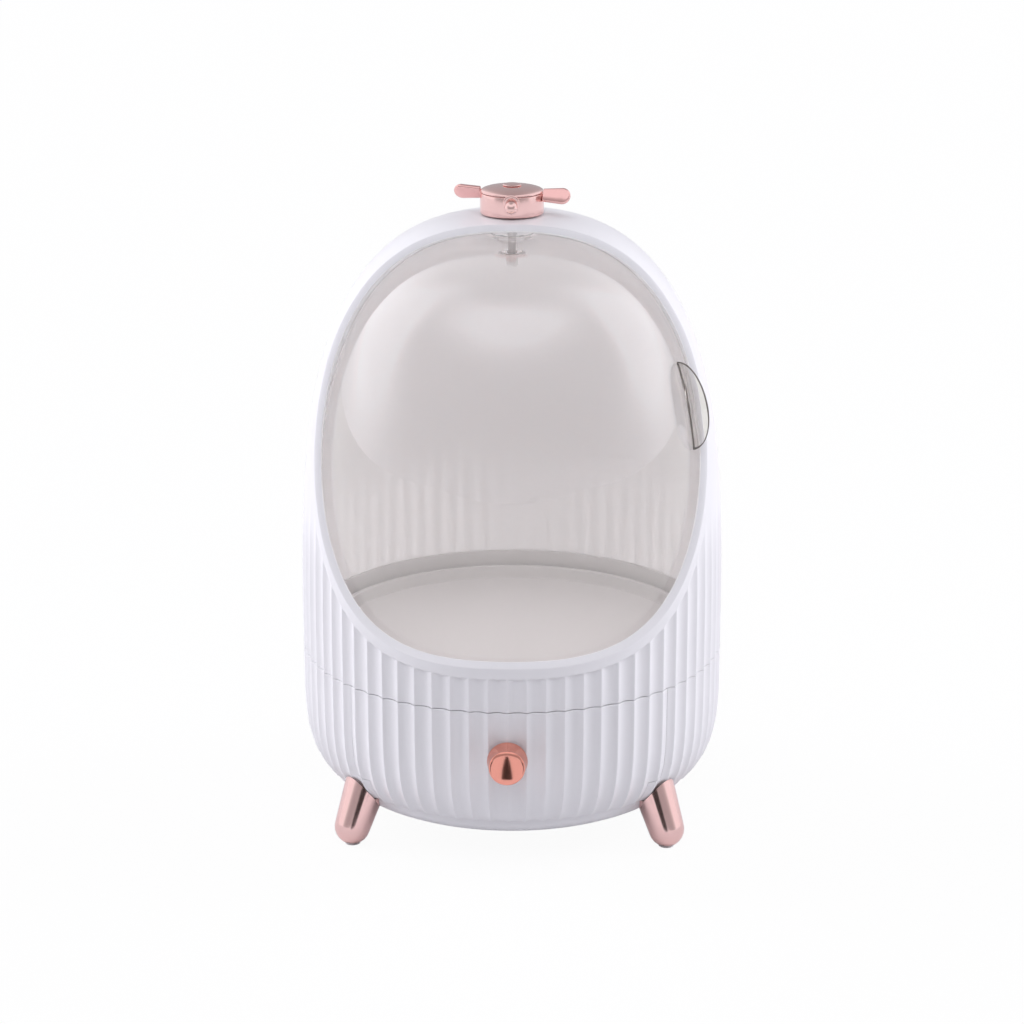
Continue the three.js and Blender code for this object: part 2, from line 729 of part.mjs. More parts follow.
// The screw's head lies against a flat facet of the box's inner front wall
function knobScrew() {
  const wallRadius = bodyCurve(-knobDrop - screwHeadRadius, wall + fit + boxWall);
  const seat = wallRadius * Math.cos(Math.PI / innerColumns) - fit;
  const geometry = geometryOf(panScrew(knobScrewLength)).rotateX(-Math.PI / 2);
  return solidOf(geometry.translate(0, -seat + screwHeadHeight, -knobDrop));
}

// Propeller

const drumFoot = domeHeight + drumLift;
const drumTop = drumFoot + drumHeight;

function rotorDrum() {
  const recess = drumTop - drumRecess;
  const body = turned([[0, drumFoot], [drumRadius, drumFoot], [drumRadius, drumTop],
    [drumRadius - drumRim, drumTop], [drumRadius - drumRim, recess], [0, recess]], drumColumns);
  return body.subtract(rod(axleRadius + fit, drumFoot - overrun, drumTop + overrun, roundColumns))
    .subtract(rod(axleFlange + fit, drumFoot - overrun, drumFoot + fit, roundColumns));
}

function rotorAxle() {
  const headFoot = drumTop - drumRecess + fit;
  const stubFoot = domeHeight - axleStub;
  const flangeFoot = domeHeight + fit / 2;
  return turned([[0, stubFoot], [pivotShank, stubFoot], [pivotShank, flangeFoot], [axleFlange, flangeFoot],
    [axleFlange, drumFoot], [axleRadius, drumFoot], [axleRadius, headFoot], [axleHeadRadius, headFoot],
    [axleHeadRadius, headFoot + axleHeadHeight], [0, headFoot + axleHeadHeight]], roundColumns);
}

// Cap: a shallow dome that plugs into the drum
function rotorCap() {
  const plug = drumRadius - drumRim - fit;
  const foot = drumTop + fit;
  const dome = arc(0, 0, 1, 0, 90).map(([across, up]) => [drumRadius * across, foot + capRise * up]);
  return turned([[0, foot - capPlug], [plug, foot - capPlug], [plug, foot], ...dome], drumColumns);
}

function rotorButton() {
  const foot = drumTop + fit + capRise + fit;
  const top = foot + buttonHeight;
  return turned([[0, foot], [buttonRadius, foot], [buttonRadius, top - buttonHeight / 3],
    [buttonRadius * buttonCrownShare, top], [0, top]], roundColumns);
}

// Blade: a rounded paddle, drawn flat along +X, pitched, then turned to its place
function rotorBlade(azimuth) {
  const root = drumRadius - drumRim;
  const half = bladeChord / 2;
  const tipMiddle = bladeTip - half;
  const tip = arc(tipMiddle, 0, half, -90, 90, 2 * arcSteps);
  const outline = [[root, -half * bladeRootShare], ...tip, [root, half * bladeRootShare]];
  const shape = new THREE.Shape(outline.map(([x, y]) => new THREE.Vector2(x, y)));
  const geometry = new THREE.ExtrudeGeometry(shape, { depth: bladeThickness, bevelEnabled: false });
  geometry.translate(0, 0, -bladeThickness / 2).rotateX(degrees(bladePitch));
  geometry.rotateZ(degrees(azimuth)).translate(0, 0, drumTop - bladeDrop);
  const drum = rod(drumRadius + fit, drumFoot - overrun, drumTop + 2 * overrun, drumColumns);
  return solidOf(geometry).subtract(drum);
}

const noseHeight = drumTop - noseDrop;

function noseRing() {
  const face = drumRadius + noseRingThickness;
  const disc = turnedForward([[0, drumRadius / 2], [noseRingRadius, drumRadius / 2],
    [noseRingRadius, face - noseRingThickness / 3], [noseRingRadius * noseRingCrownShare, face], [0, face]],
  roundColumns, noseHeight);
  return disc.subtract(rod(drumRadius + fit, drumFoot - overrun, drumTop + overrun, drumColumns));
}

function nose() {
  const foot = drumRadius + noseRingThickness + fit;
  const middle = foot + noseLength;
  const ball = arc(0, middle, noseBallRadius, ...noseBallAngles, 2 * arcSteps);
  return turnedForward([[0, foot], [noseStemRadius, foot], ...ball, [0, middle + noseBallRadius]],
    screwColumns, noseHeight);
}

// Materials and the assembled object

const finish = (color, roughness, metalness, opacity = 1) => () => (
  new THREE.MeshStandardMaterial({ color, roughness, metalness, opacity, transparent: opacity < 1 }));

const whiteGloss = finish(0xf0f0f5, 0.28, 0);
const whiteSatin = finish(0xe9e7ea, 0.45, 0);
const clearTint = finish(0xcfc6c0, 0.08, 0, 0.35);
const roseMetal = finish(0xe6b3a8, 0.18, 0.9);
const copperMetal = finish(0xdc8f7a, 0.15, 0.95);
const steel = finish(0xb8bcc2, 0.35, 0.9);
const softPad = finish(0xd8d8da, 0.8, 0);

const organizer = new THREE.Group();
const assembly = new THREE.Group();
organizer.add(assembly);
assembly.position.set(0, (knobLength + fit) / 2, seamHeight);

function place(name, solid, material, azimuth = 90) {
  const mesh = new THREE.Mesh(geometryOf(solid), material());
  mesh.name = name;
  mesh.rotation.z = degrees(azimuth - 90);
  assembly.add(mesh);
  return mesh;
}

place('upper_shell', upperShell(), whiteGloss);
place('base_bowl', baseBowl(), whiteGloss);
place('partition_floor', partitionFloor(), whiteSatin);
place('storage_tray', storageTray(), whiteSatin);

place('visor', visor(), clearTint);
place('visor_pull_tab', visorTab(), clearTint);
place('visor_pivot_screw', pivotScrew(), steel);
place('visor_pivot_washer', pivotWasher(), whiteSatin);

place('drawer_front', drawerFront(), whiteGloss);
place('drawer_box', drawerBox(), whiteSatin);
place('drawer_knob', knob(), copperMetal);
place('drawer_knob_screw', knobScrew(), steel);
place('drawer_buffer', drawerBuffer(), softPad);
const rail = drawerRail();
place('drawer_rail_right', rail, whiteSatin);
place('drawer_rail_left', turnedTo(rail, 270), whiteSatin);

const legNames = ['front_left', 'front_right', 'rear_right', 'rear_left'];
const legSolid = leg();
const legScrewSolid = legScrew();
const padSolid = footPad();
legAzimuths.forEach((azimuth, i) => {
  place(`leg_${legNames[i]}`, legSolid, roseMetal, azimuth);
  place(`leg_screw_${legNames[i]}`, legScrewSolid, steel, azimuth);
  place(`foot_pad_${legNames[i]}`, padSolid, softPad, azimuth);
});

const partitionScrew = moved(panScrew(partitionScrewLength), postRing, 0, partitionTop);
postAzimuths.forEach((azimuth, i) => place(`partition_screw_${i + 1}`, partitionScrew, steel, azimuth));

place('rotor_axle', rotorAxle(), steel);
place('rotor_drum', rotorDrum(), roseMetal);
place('rotor_cap', rotorCap(), roseMetal);
place('rotor_button', rotorButton(), roseMetal);
place('rotor_blade_left', rotorBlade(180 - bladeYaw), roseMetal);
place('rotor_blade_right', rotorBlade(-bladeYaw), roseMetal);
place('rotor_nose_ring', noseRing(), roseMetal);
place('rotor_nose', nose(), roseMetal);

export default organizer;
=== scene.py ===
"""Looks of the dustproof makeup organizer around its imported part. Metres, +Z up, front towards -Y."""

import json
import math

import bpy
import numpy as np
from mathutils import Matrix, Vector
from mathutils.kdtree import KDTree

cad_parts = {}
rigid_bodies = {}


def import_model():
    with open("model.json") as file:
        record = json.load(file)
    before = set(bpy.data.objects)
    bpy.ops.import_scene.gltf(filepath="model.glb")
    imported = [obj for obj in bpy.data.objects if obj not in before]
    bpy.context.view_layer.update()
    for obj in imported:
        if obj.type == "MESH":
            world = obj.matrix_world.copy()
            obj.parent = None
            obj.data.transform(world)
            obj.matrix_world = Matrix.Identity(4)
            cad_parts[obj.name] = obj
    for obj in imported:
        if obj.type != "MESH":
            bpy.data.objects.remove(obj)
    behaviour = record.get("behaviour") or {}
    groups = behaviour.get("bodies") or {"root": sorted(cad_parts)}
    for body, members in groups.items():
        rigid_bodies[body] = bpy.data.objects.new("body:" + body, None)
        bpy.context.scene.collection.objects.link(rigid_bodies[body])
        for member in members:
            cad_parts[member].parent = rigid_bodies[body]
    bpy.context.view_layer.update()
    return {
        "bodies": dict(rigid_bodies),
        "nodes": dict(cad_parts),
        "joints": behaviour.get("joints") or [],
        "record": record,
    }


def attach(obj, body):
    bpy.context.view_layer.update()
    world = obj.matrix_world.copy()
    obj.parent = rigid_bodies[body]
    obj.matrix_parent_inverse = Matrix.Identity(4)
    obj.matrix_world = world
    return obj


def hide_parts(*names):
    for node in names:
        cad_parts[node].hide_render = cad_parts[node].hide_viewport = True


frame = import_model()

# Camera: a long lens about 1.6 m in front of the organizer, a little to its right, looking down at it
# from a height of 0.68 m. The visor's and the body's upright axis is the picture's middle.
axis_y = 0.0064
film_width, lens_length = 36, 99.0
camera_right, camera_distance, camera_height = 0.0335, 1.5996, 0.6838
camera_tilt, camera_turn = math.radians(72.53), math.radians(1.2)
camera_data = bpy.data.cameras.new("camera")
camera_data.sensor_width = film_width
camera_data.lens = lens_length
camera = bpy.data.objects.new("camera", camera_data)
camera.location = (camera_right, axis_y - camera_distance, camera_height)
camera.rotation_euler = (camera_tilt, 0, camera_turn)
bpy.context.scene.collection.objects.link(camera)
bpy.context.scene.camera = camera
bpy.context.scene.view_settings.view_transform = "Standard"

# Surroundings: a dim studio with tall soft boxes behind and beside the organizer, and a wide one high in
# front of it. Seen straight, through the clear pieces or mirrored in the visor's lower half it is plain
# white, and the floor keeps a faint shadow.
floor_reach, floor_grey, floor_white_share = 4.0, (0.82, 0.815, 0.825, 1), 0.95
white, white_behind = (1, 1, 1, 1), 1.0
studio_level, studio_tint = 0.12, (1.0, 0.995, 1.04, 1)
# Mirrored, it is brighter: the level added and the most for polished metal, then what the visor has on top
metal_adds, metal_most, visor_adds, visor_most_adds = 0.33, 1.03, 0.47, 1.9
# In the visor the boxes fade towards the horizon, where it mirrors the white floor: the share that is left
# there, and the elevation at which they are whole
visor_low_share, visor_full_height = 0.25, math.radians(25)
# Soft boxes: azimuth from the front towards +X, elevation, half width and half height in degrees, strength
soft_boxes = ((-135, 15, 20, 30, 2.0), (135, 15, 20, 30, 1.3),
              (-105, 22, 16, 28, 4.8), (105, 22, 16, 28, 4.9),
              (-98, 3, 24, 12, 4.0), (98, 3, 24, 12, 3.3), (0, 58, 66, 14, 3.5))


def node_of(tree, kind, **settings):
    node = tree.nodes.new(kind)
    for name, value in settings.items():
        setattr(node, name, value)
    return node


def feed(tree, socket, value):
    if isinstance(value, bpy.types.NodeSocket):
        tree.links.new(value, socket)
    elif value is not None:
        socket.default_value = value


def feeds(tree, node, **values):
    for name, value in values.items():
        feed(tree, node.inputs[name.replace("_", " ")], value)
    return node


def mixed(tree, share, first, second):
    node = node_of(tree, "ShaderNodeMixShader")
    for socket, value in zip(node.inputs, (share, first.outputs[0], second.outputs[0])):
        feed(tree, socket, value)
    return node.outputs[0]


def reckon(tree, operation, *values):
    node = node_of(tree, "ShaderNodeMath", operation=operation)
    for socket, value in zip(node.inputs, values):
        feed(tree, socket, value)
    return node.outputs[0]


def seen_straight(tree):
    path = node_of(tree, "ShaderNodeLightPath")
    return reckon(tree, "MAXIMUM", path.outputs["Is Camera Ray"], path.outputs["Is Transmission Ray"])


def seen_mirrored(tree):
    """1 for rays that a surface mirrors, and 1 for those that a perfectly smooth one does"""
    path = node_of(tree, "ShaderNodeLightPath")
    mirrored = path.outputs["Is Glossy Ray"]
    return mirrored, reckon(tree, "MULTIPLY", mirrored, path.outputs["Is Singular Ray"])


world = bpy.data.worlds.new("white studio")
bpy.context.scene.world = world
world.use_nodes = True
sky = world.node_tree
sky.nodes.clear()
direction = node_of(sky, "ShaderNodeTexCoord")
parts = node_of(sky, "ShaderNodeSeparateXYZ")
feed(sky, parts.inputs[0], direction.outputs["Generated"])
level = studio_level
sideways = reckon(sky, "ARCTAN2", parts.outputs["X"], reckon(sky, "MULTIPLY", parts.outputs["Y"], -1.0))
upwards = reckon(sky, "ARCSINE", parts.outputs["Z"])
for azimuth, elevation, half_width, half_height, strength in soft_boxes:
    across = reckon(sky, "DIVIDE", reckon(sky, "SUBTRACT", sideways, math.radians(azimuth)),
                    math.radians(half_width))
    along = reckon(sky, "DIVIDE", reckon(sky, "SUBTRACT", upwards, math.radians(elevation)),
                   math.radians(half_height))
    off = reckon(sky, "ADD", reckon(sky, "MULTIPLY", across, across), reckon(sky, "MULTIPLY", along, along))
    box = reckon(sky, "EXPONENT", reckon(sky, "MULTIPLY", off, -1.0))
    level = reckon(sky, "MULTIPLY_ADD", box, strength, level)
mirrored, smooth = seen_mirrored(sky)
added = reckon(sky, "MULTIPLY_ADD", smooth, visor_adds, metal_adds)
most = reckon(sky, "MULTIPLY_ADD", smooth, visor_most_adds, metal_most)
fade = feeds(sky, node_of(sky, "ShaderNodeMapRange", interpolation_type="SMOOTHSTEP"),
             Value=upwards, From_Max=visor_full_height, To_Min=1 - visor_low_share, To_Max=0.0)
kept = reckon(sky, "SUBTRACT", 1.0, reckon(sky, "MULTIPLY", smooth, fade.outputs["Result"]))
in_mirrors = reckon(sky, "MINIMUM", reckon(sky, "MULTIPLY_ADD", level, kept, added), most)
in_mirrors = reckon(sky, "MULTIPLY", in_mirrors, mirrored)
level = reckon(sky, "MULTIPLY_ADD", level, reckon(sky, "SUBTRACT", 1.0, mirrored), in_mirrors)
around = feeds(sky, node_of(sky, "ShaderNodeBackground"), Color=studio_tint, Strength=level)
behind = feeds(sky, node_of(sky, "ShaderNodeBackground"), Color=white, Strength=white_behind)
feed(sky, node_of(sky, "ShaderNodeOutputWorld").inputs[0], mixed(sky, seen_straight(sky), around, behind))

floor_mesh = bpy.data.meshes.new("studio_floor")
floor_mesh.from_pydata([(-floor_reach, -floor_reach, 0), (floor_reach, -floor_reach, 0),
                        (floor_reach, floor_reach, 0), (-floor_reach, floor_reach, 0)], [], [(0, 1, 2, 3)])
floor = bpy.data.objects.new("studio_floor", floor_mesh)
bpy.context.scene.collection.objects.link(floor)
floor_paint = bpy.data.materials.new("pale floor")
floor_paint.use_nodes = True
tree = floor_paint.node_tree
tree.nodes.clear()
matt = feeds(tree, node_of(tree, "ShaderNodeBsdfDiffuse"), Color=floor_grey)
glow = feeds(tree, node_of(tree, "ShaderNodeEmission"), Strength=white_behind)
white_seen = reckon(tree, "MAXIMUM", seen_straight(tree), seen_mirrored(tree)[1])
white_seen = reckon(tree, "MULTIPLY", white_seen, floor_white_share)
feed(tree, node_of(tree, "ShaderNodeOutputMaterial").inputs[0], mixed(tree, white_seen, matt, glow))
floor_mesh.materials.append(floor_paint)


# Three small dark cards stand in front of the organizer, where only rays that the metal mirrors meet them.
# They are the dark streaks in the knob's face and down the front legs.
card_dark, card_foot = (0.02, 0.017, 0.016, 1), 0.001
# Each card: X of its middle, Y, half widths at the foot and at the top, height of its top
cards = {"knob_card": (-0.002, -0.222, 0.014, 0.003, 0.073),
         "left_leg_card": (-0.088, -0.200, 0.022, 0.048, 0.072),
         "right_leg_card": (0.088, -0.200, 0.022, 0.048, 0.072)}
card_paint = bpy.data.materials.new("dark card")
card_paint.use_nodes = True
tree = card_paint.node_tree
dark = feeds(tree, tree.nodes["Principled BSDF"], Base_Color=card_dark)
in_visor = node_of(tree, "ShaderNodeLightPath").outputs["Is Singular Ray"]
unseen = mixed(tree, in_visor, dark, node_of(tree, "ShaderNodeBsdfTransparent"))
feed(tree, tree.nodes["Material Output"].inputs["Surface"], unseen)
for name, (middle, ahead, foot_half, top_half, height) in cards.items():
    card_mesh = bpy.data.meshes.new(name)
    card_mesh.from_pydata([(middle - foot_half, ahead, card_foot), (middle + foot_half, ahead, card_foot),
                           (middle + top_half, ahead, height), (middle - top_half, ahead, height)],
                          [], [(3, 2, 1, 0)])
    card_mesh.materials.append(card_paint)
    card = bpy.data.objects.new(name, card_mesh)
    bpy.context.scene.collection.objects.link(card)
    card.visible_camera = card.visible_diffuse = card.visible_transmission = card.visible_shadow = False

# Upper shell: one moulded dome of glossy white plastic. Upright flutes run up from the seam and die out,
# and the window is a swept cut with a bevelled rim and a plain band round it. It carries the other parts.
seam_z = 0.1008
body_radius = 0.1254
dome_height = 0.260
round_power, rise_power = 2.76, 3.13
wall = 0.0036
half_gap = 0.0001
edge_round = 0.00035
flute_count = 72
flute_depth = 0.0018
flute_fade = (0.058, 0.100)
crest_softness = 0.12
window_setback, window_sill, sweep_top, sweep_power = 0.026, 0.026, 0.200, 1.7
window_switch = math.radians(65)
arch_turn = 60
land_width, land_blend, land_inset = 0.006, 0.0004, 0.00025
rim_slope = math.radians(40)
rim_outer_round, rim_inner_round = 0.0011, 0.00045
rim_draw = 0.022
crown_hole, boss_round = 0.0026, 0.0006
glow_reach, skin_height = 0.006, 0.0002
boss_radius, boss_foot, boss_top = 0.008, 0.2499, dome_height - wall + 0.0004


def plastic(name, light, dark, roughness, patch=14.0, grain=1400.0, grain_depth=0.02, **sockets):
    """Moulded plastic: a faint change of tone and gloss over the surface and a very fine skin"""
    material = bpy.data.materials.new(name)
    material.use_nodes = True
    tree = material.node_tree
    shader = tree.nodes["Principled BSDF"]
    where = node_of(tree, "ShaderNodeTexCoord").outputs["Object"]
    broad = feeds(tree, node_of(tree, "ShaderNodeTexNoise"), Vector=where, Scale=patch, Detail=3.0)
    tone = feeds(tree, node_of(tree, "ShaderNodeMix", data_type="RGBA"), Factor=broad.outputs["Fac"],
                 A=(*dark, 1), B=(*light, 1))
    gloss = feeds(tree, node_of(tree, "ShaderNodeMapRange"), Value=broad.outputs["Fac"],
                  To_Min=roughness[0], To_Max=roughness[1])
    fine = feeds(tree, node_of(tree, "ShaderNodeTexNoise"), Vector=where, Scale=grain)
    skin = feeds(tree, node_of(tree, "ShaderNodeBump"), Strength=grain_depth, Distance=skin_height,
                 Height=fine.outputs["Fac"])
    feeds(tree, shader, Base_Color=tone.outputs["Result"], Roughness=gloss.outputs["Result"],
          Normal=skin.outputs["Normal"], **sockets)
    return material


def piece(name, points, faces, material, share=None):
    mesh = bpy.data.meshes.new(name)
    mesh.from_pydata([tuple(p) for p in points], [], [tuple(f) for f in faces])
    mesh.polygons.foreach_set("use_smooth", [True] * len(mesh.polygons))
    mesh.materials.append(material)
    if share is not None:
        mesh.attributes.new("flute_share", "FLOAT", "POINT").data.foreach_set("value", share)
    mesh.update()
    made = bpy.data.objects.new(name, mesh)
    bpy.context.scene.collection.objects.link(made)
    return made


def settle(made):
    """The piece's modifiers are worked out once and their result becomes its plain mesh"""
    bpy.context.view_layer.update()
    graph = bpy.context.evaluated_depsgraph_get()
    mesh = bpy.data.meshes.new_from_object(made.evaluated_get(graph), depsgraph=graph)
    made.modifiers.clear()
    old, made.data = made.data, mesh
    mesh.name = made.name
    bpy.data.meshes.remove(old)
    return made


def mount(made, body, slot, *nodes, sharp=50):
    made.data.set_sharp_from_angle(angle=math.radians(sharp))
    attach(made, body)
    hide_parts(*nodes)
    return made


def at(radius, azimuth, height):
    """Points about the upright axis: azimuth from the front towards +X, height from the seam"""
    radius, azimuth, height = np.broadcast_arrays(radius, azimuth, height)
    return np.stack([radius * np.sin(azimuth), axis_y - radius * np.cos(azimuth), seam_z + height], -1)


def cells(grid):
    """Faces between the rows and columns of an array of corner numbers"""
    found = []
    for lower, upper in zip(grid, grid[1:]):
        for a, b, c, d in zip(lower, lower[1:], upper[1:], upper):
            face = [v for v, last in zip((a, b, c, d), (d, a, b, c)) if v != last]
            if len(face) > 2:
                found.append(face)
    return found


def facing(points, normals, faces):
    """The same faces, each with its front on the side that its corners' normals point to"""
    found = []
    for face in faces:
        first, second = points[face[1]] - points[face[0]], points[face[2]] - points[face[0]]
        out = sum(normals[v] for v in face)
        found.append(face if np.dot(np.cross(first, second), out) > 0 else face[::-1])
    return found


def open_edges(faces):
    """Loops of the edges that only one face has, with the faces on their left"""
    edges = {(a, b) for face in faces for a, b in zip(face, face[1:] + face[:1])}
    following = {a: b for a, b in edges if (b, a) not in edges}
    loops = []
    while following:
        start, step = following.popitem()
        loop = [start]
        while step != start:
            loop.append(step)
            step = following.pop(step)
        loops.append(loop)
    return loops


def renumbered(faces):
    """The corners that the faces use, and the same faces with these corners numbered from 0"""
    used = sorted({v for face in faces for v in face})
    number = {v: i for i, v in enumerate(used)}
    return used, [[number[v] for v in face] for face in faces]


def search_tree(points):
    tree = KDTree(len(points))
    for i, p in enumerate(points):
        tree.insert(p, i)
    tree.balance()
    return tree


def walled(outer, normals, inner, faces, profile_for, share, draw=0.0):
    """A closed wall: outer and inner faces, joined round every open edge by a profile of steps that each
    run on past the edge and down into the wall. A profile that ends past the edge draws the inner face
    along as far as the draw length"""
    faces = facing(outer, normals, faces)
    count = len(outer)
    points, shares, built = list(outer), list(share), list(faces)
    shifted = np.array(inner, float)
    strips = []
    for loop in open_edges(faces):
        line, up = outer[loop], normals[loop]
        step = np.roll(line, -1, 0) - line
        step /= np.linalg.norm(step, axis=1)[:, None]
        right = np.cross(step, up)
        right /= np.linalg.norm(right, axis=1)[:, None]
        before = np.roll(right, 1, 0)
        past = (before + right) / (1 + (before * right).sum(1))[:, None]
        profile = profile_for(line)
        reach = profile[-1][0]
        if reach:
            tree = search_tree(line)
            for v in range(count):
                _, i, distance = tree.find(outer[v])
                if distance < draw:
                    shifted[v] += past[i] * reach * (1 - distance / draw) ** 2
        strips.append((loop, line, up, past, profile))
    base = len(points)
    points += list(shifted)
    shares += [0.0] * count
    built += [[base + v for v in reversed(face)] for face in faces]
    for loop, line, up, past, profile in strips:
        rows = [list(loop)]
        for across, down in profile[:-1]:
            rows.append(list(range(len(points), len(points) + len(loop))))
            points += list(line + past * across + up * down)
            deep = 1.0 if down > -2 * edge_round else max(1 + down / wall, 0.0)
            shares += [deep * share[v] for v in loop]
        rows.append([base + v for v in loop])
        for upper, lower in zip(rows, rows[1:]):
            for i in range(len(loop)):
                j = (i + 1) % len(loop)
                built.append([upper[j], upper[i], lower[i], lower[j]])
    return points, built, shares


def round_edge(thickness, radius=edge_round):
    turns = [math.radians(a) for a in (30, 60, 90)]
    outer = [(radius * math.sin(a), -radius * (1 - math.cos(a))) for a in turns]
    inner = [(across, -thickness - down) for across, down in reversed(outer)]
    return outer + inner + [(0.0, -thickness)]


def rim_edge():
    """The window's bevel: a rounded outer edge, the slope, and a rounded edge on the inner face"""
    turns = [math.radians(a) for a in (10, 20, 30, 40)]
    outer = [(rim_outer_round * math.sin(a), -rim_outer_round * (1 - math.cos(a))) for a in turns]
    start = (rim_inner_round * math.sin(rim_slope), rim_inner_round * math.cos(rim_slope))
    drop = outer[-1][1] - (rim_inner_round - wall + start[1])
    middle = (outer[-1][0] + drop / math.tan(rim_slope) - start[0], rim_inner_round - wall)
    ways = [math.radians(a) for a in (-40, -75, -110, -145, -180)]
    inner = [(middle[0] - rim_inner_round * math.sin(a), middle[1] + rim_inner_round * math.cos(a))
             for a in ways]
    return outer + inner


def dome_outline(radius, reach, steps=4000):
    """Side view of a dome from its foot to its crown: radius, height and the length run so far"""
    turn = np.linspace(0, math.pi / 2, steps)
    across = radius * np.cos(turn) ** (2 / round_power)
    up = reach * np.sin(turn) ** (2 / rise_power)
    return across, up, np.concatenate([[0], np.cumsum(np.hypot(np.diff(across), np.diff(up)))])


def dome_radius(height, radius=body_radius, reach=dome_height):
    return radius * (1 - np.clip(height / reach, 0, 1) ** rise_power) ** (1 / round_power)


def dome_height_at(across, radius=body_radius, reach=dome_height):
    return reach * (1 - (across / radius) ** round_power) ** (1 / rise_power)


def dome_normals(azimuth, across, height, radius=body_radius, reach=dome_height):
    out = round_power / radius * (across / radius) ** (round_power - 1)
    up = rise_power / reach * (np.clip(height, 0, None) / reach) ** (rise_power - 1)
    out, up = out / np.hypot(out, up), up / np.hypot(out, up)
    azimuth, out, up = np.broadcast_arrays(azimuth, out, up)
    return np.stack([out * np.sin(azimuth), -out * np.cos(azimuth), up], -1)


def rim_front(height):
    share = np.clip((sweep_top - height) / (sweep_top - window_sill), 0, 1)
    return body_radius - (body_radius - window_setback) * (1 - share ** sweep_power) ** (1 / sweep_power)


def fluting_tree():
    """Geometry nodes that press the flutes into a wall: ribs between shallow hollows round the axis"""
    tree = bpy.data.node_groups.new("flutes", "GeometryNodeTree")
    face = tree.interface
    face.new_socket("Wall", in_out="INPUT", socket_type="NodeSocketGeometry")
    for name, value in (("Flutes", flute_count), ("Depth", flute_depth), ("Fade Start", flute_fade[0]),
                        ("Fade End", flute_fade[1]), ("Seam Height", seam_z), ("Axis", axis_y),
                        ("Crest Softness", crest_softness)):
        face.new_socket(name, in_out="INPUT", socket_type="NodeSocketFloat").default_value = value
    face.new_socket("Finish", in_out="INPUT", socket_type="NodeSocketMaterial")
    face.new_socket("Wall", in_out="OUTPUT", socket_type="NodeSocketGeometry")
    given = node_of(tree, "NodeGroupInput")
    spot = node_of(tree, "ShaderNodeSeparateXYZ")
    feed(tree, spot.inputs[0], node_of(tree, "GeometryNodeInputPosition").outputs[0])
    back = reckon(tree, "SUBTRACT", given.outputs["Axis"], spot.outputs["Y"])
    turn = reckon(tree, "DIVIDE", reckon(tree, "ARCTAN2", spot.outputs["X"], back), math.tau)
    across = reckon(tree, "FRACT", reckon(tree, "MULTIPLY", turn, given.outputs["Flutes"]))
    off = reckon(tree, "MULTIPLY_ADD", across, 2.0, -1.0)
    hollow = reckon(tree, "SUBTRACT", 1.0, reckon(tree, "MULTIPLY", off, off))
    soft = given.outputs["Crest Softness"]
    soft_square = reckon(tree, "MULTIPLY", soft, soft)
    lifted = reckon(tree, "SQRT", reckon(tree, "MULTIPLY_ADD", hollow, hollow, soft_square))
    full = reckon(tree, "SQRT", reckon(tree, "ADD", 1.0, soft_square))
    hollow = reckon(tree, "DIVIDE", reckon(tree, "SUBTRACT", lifted, soft),
                    reckon(tree, "SUBTRACT", full, soft))
    fade = feeds(tree, node_of(tree, "ShaderNodeMapRange", interpolation_type="SMOOTHSTEP"),
                 Value=reckon(tree, "SUBTRACT", spot.outputs["Z"], given.outputs["Seam Height"]),
                 From_Min=given.outputs["Fade Start"], From_Max=given.outputs["Fade End"],
                 To_Min=1.0, To_Max=0.0)
    share = node_of(tree, "GeometryNodeInputNamedAttribute", data_type="FLOAT")
    feeds(tree, share, Name="flute_share")
    depth = reckon(tree, "MULTIPLY", given.outputs["Depth"], hollow)
    depth = reckon(tree, "MULTIPLY", depth, fade.outputs["Result"])
    depth = reckon(tree, "MULTIPLY", depth, share.outputs["Attribute"])
    inward = feeds(tree, node_of(tree, "ShaderNodeCombineXYZ"),
                   X=reckon(tree, "MULTIPLY", spot.outputs["X"], -1.0), Y=back)
    way = node_of(tree, "ShaderNodeVectorMath", operation="NORMALIZE")
    feed(tree, way.inputs[0], inward.outputs[0])
    push = feeds(tree, node_of(tree, "ShaderNodeVectorMath", operation="SCALE"), Scale=depth)
    feed(tree, push.inputs[0], way.outputs[0])
    pressed = feeds(tree, node_of(tree, "GeometryNodeSetPosition"), Geometry=given.outputs["Wall"],
                    Offset=push.outputs[0])
    real = feeds(tree, node_of(tree, "GeometryNodeRealizeInstances"), Geometry=pressed.outputs["Geometry"])
    painted = feeds(tree, node_of(tree, "GeometryNodeSetMaterial"), Geometry=real.outputs["Geometry"],
                    Material=given.outputs["Finish"])
    feed(tree, node_of(tree, "NodeGroupOutput").inputs[0], painted.outputs["Geometry"])
    return tree


flutes = fluting_tree()


def fluted(made, material):
    modifier = made.modifiers.new("flutes", "NODES")
    modifier.node_group = flutes
    inputs = {item.name: item.identifier for item in flutes.interface.items_tree if item.in_out == "INPUT"}
    modifier[inputs["Finish"]] = material
    return settle(made)


def smooth_step(value, start, end):
    share = np.clip((value - start) / (end - start), 0, 1)
    return share * share * (3 - 2 * share)


def turned(profile, columns=96, frame=None):
    """Closed solid turned about Z: the profile's (radius, height) pairs run up from the lower pole"""
    points, grid = [], []
    for radius, height in profile:
        if radius < 1e-7:
            grid.append([len(points)] * (columns + 1))
            points.append((0, 0, height))
            continue
        ring = list(range(len(points), len(points) + columns))
        grid.append(ring + ring[:1])
        points += [(radius * math.cos(a), radius * math.sin(a), height)
                   for a in (math.tau * i / columns for i in range(columns))]
    if frame is not None:
        points = [frame @ Vector(p) for p in points]
    return points, cells(grid)


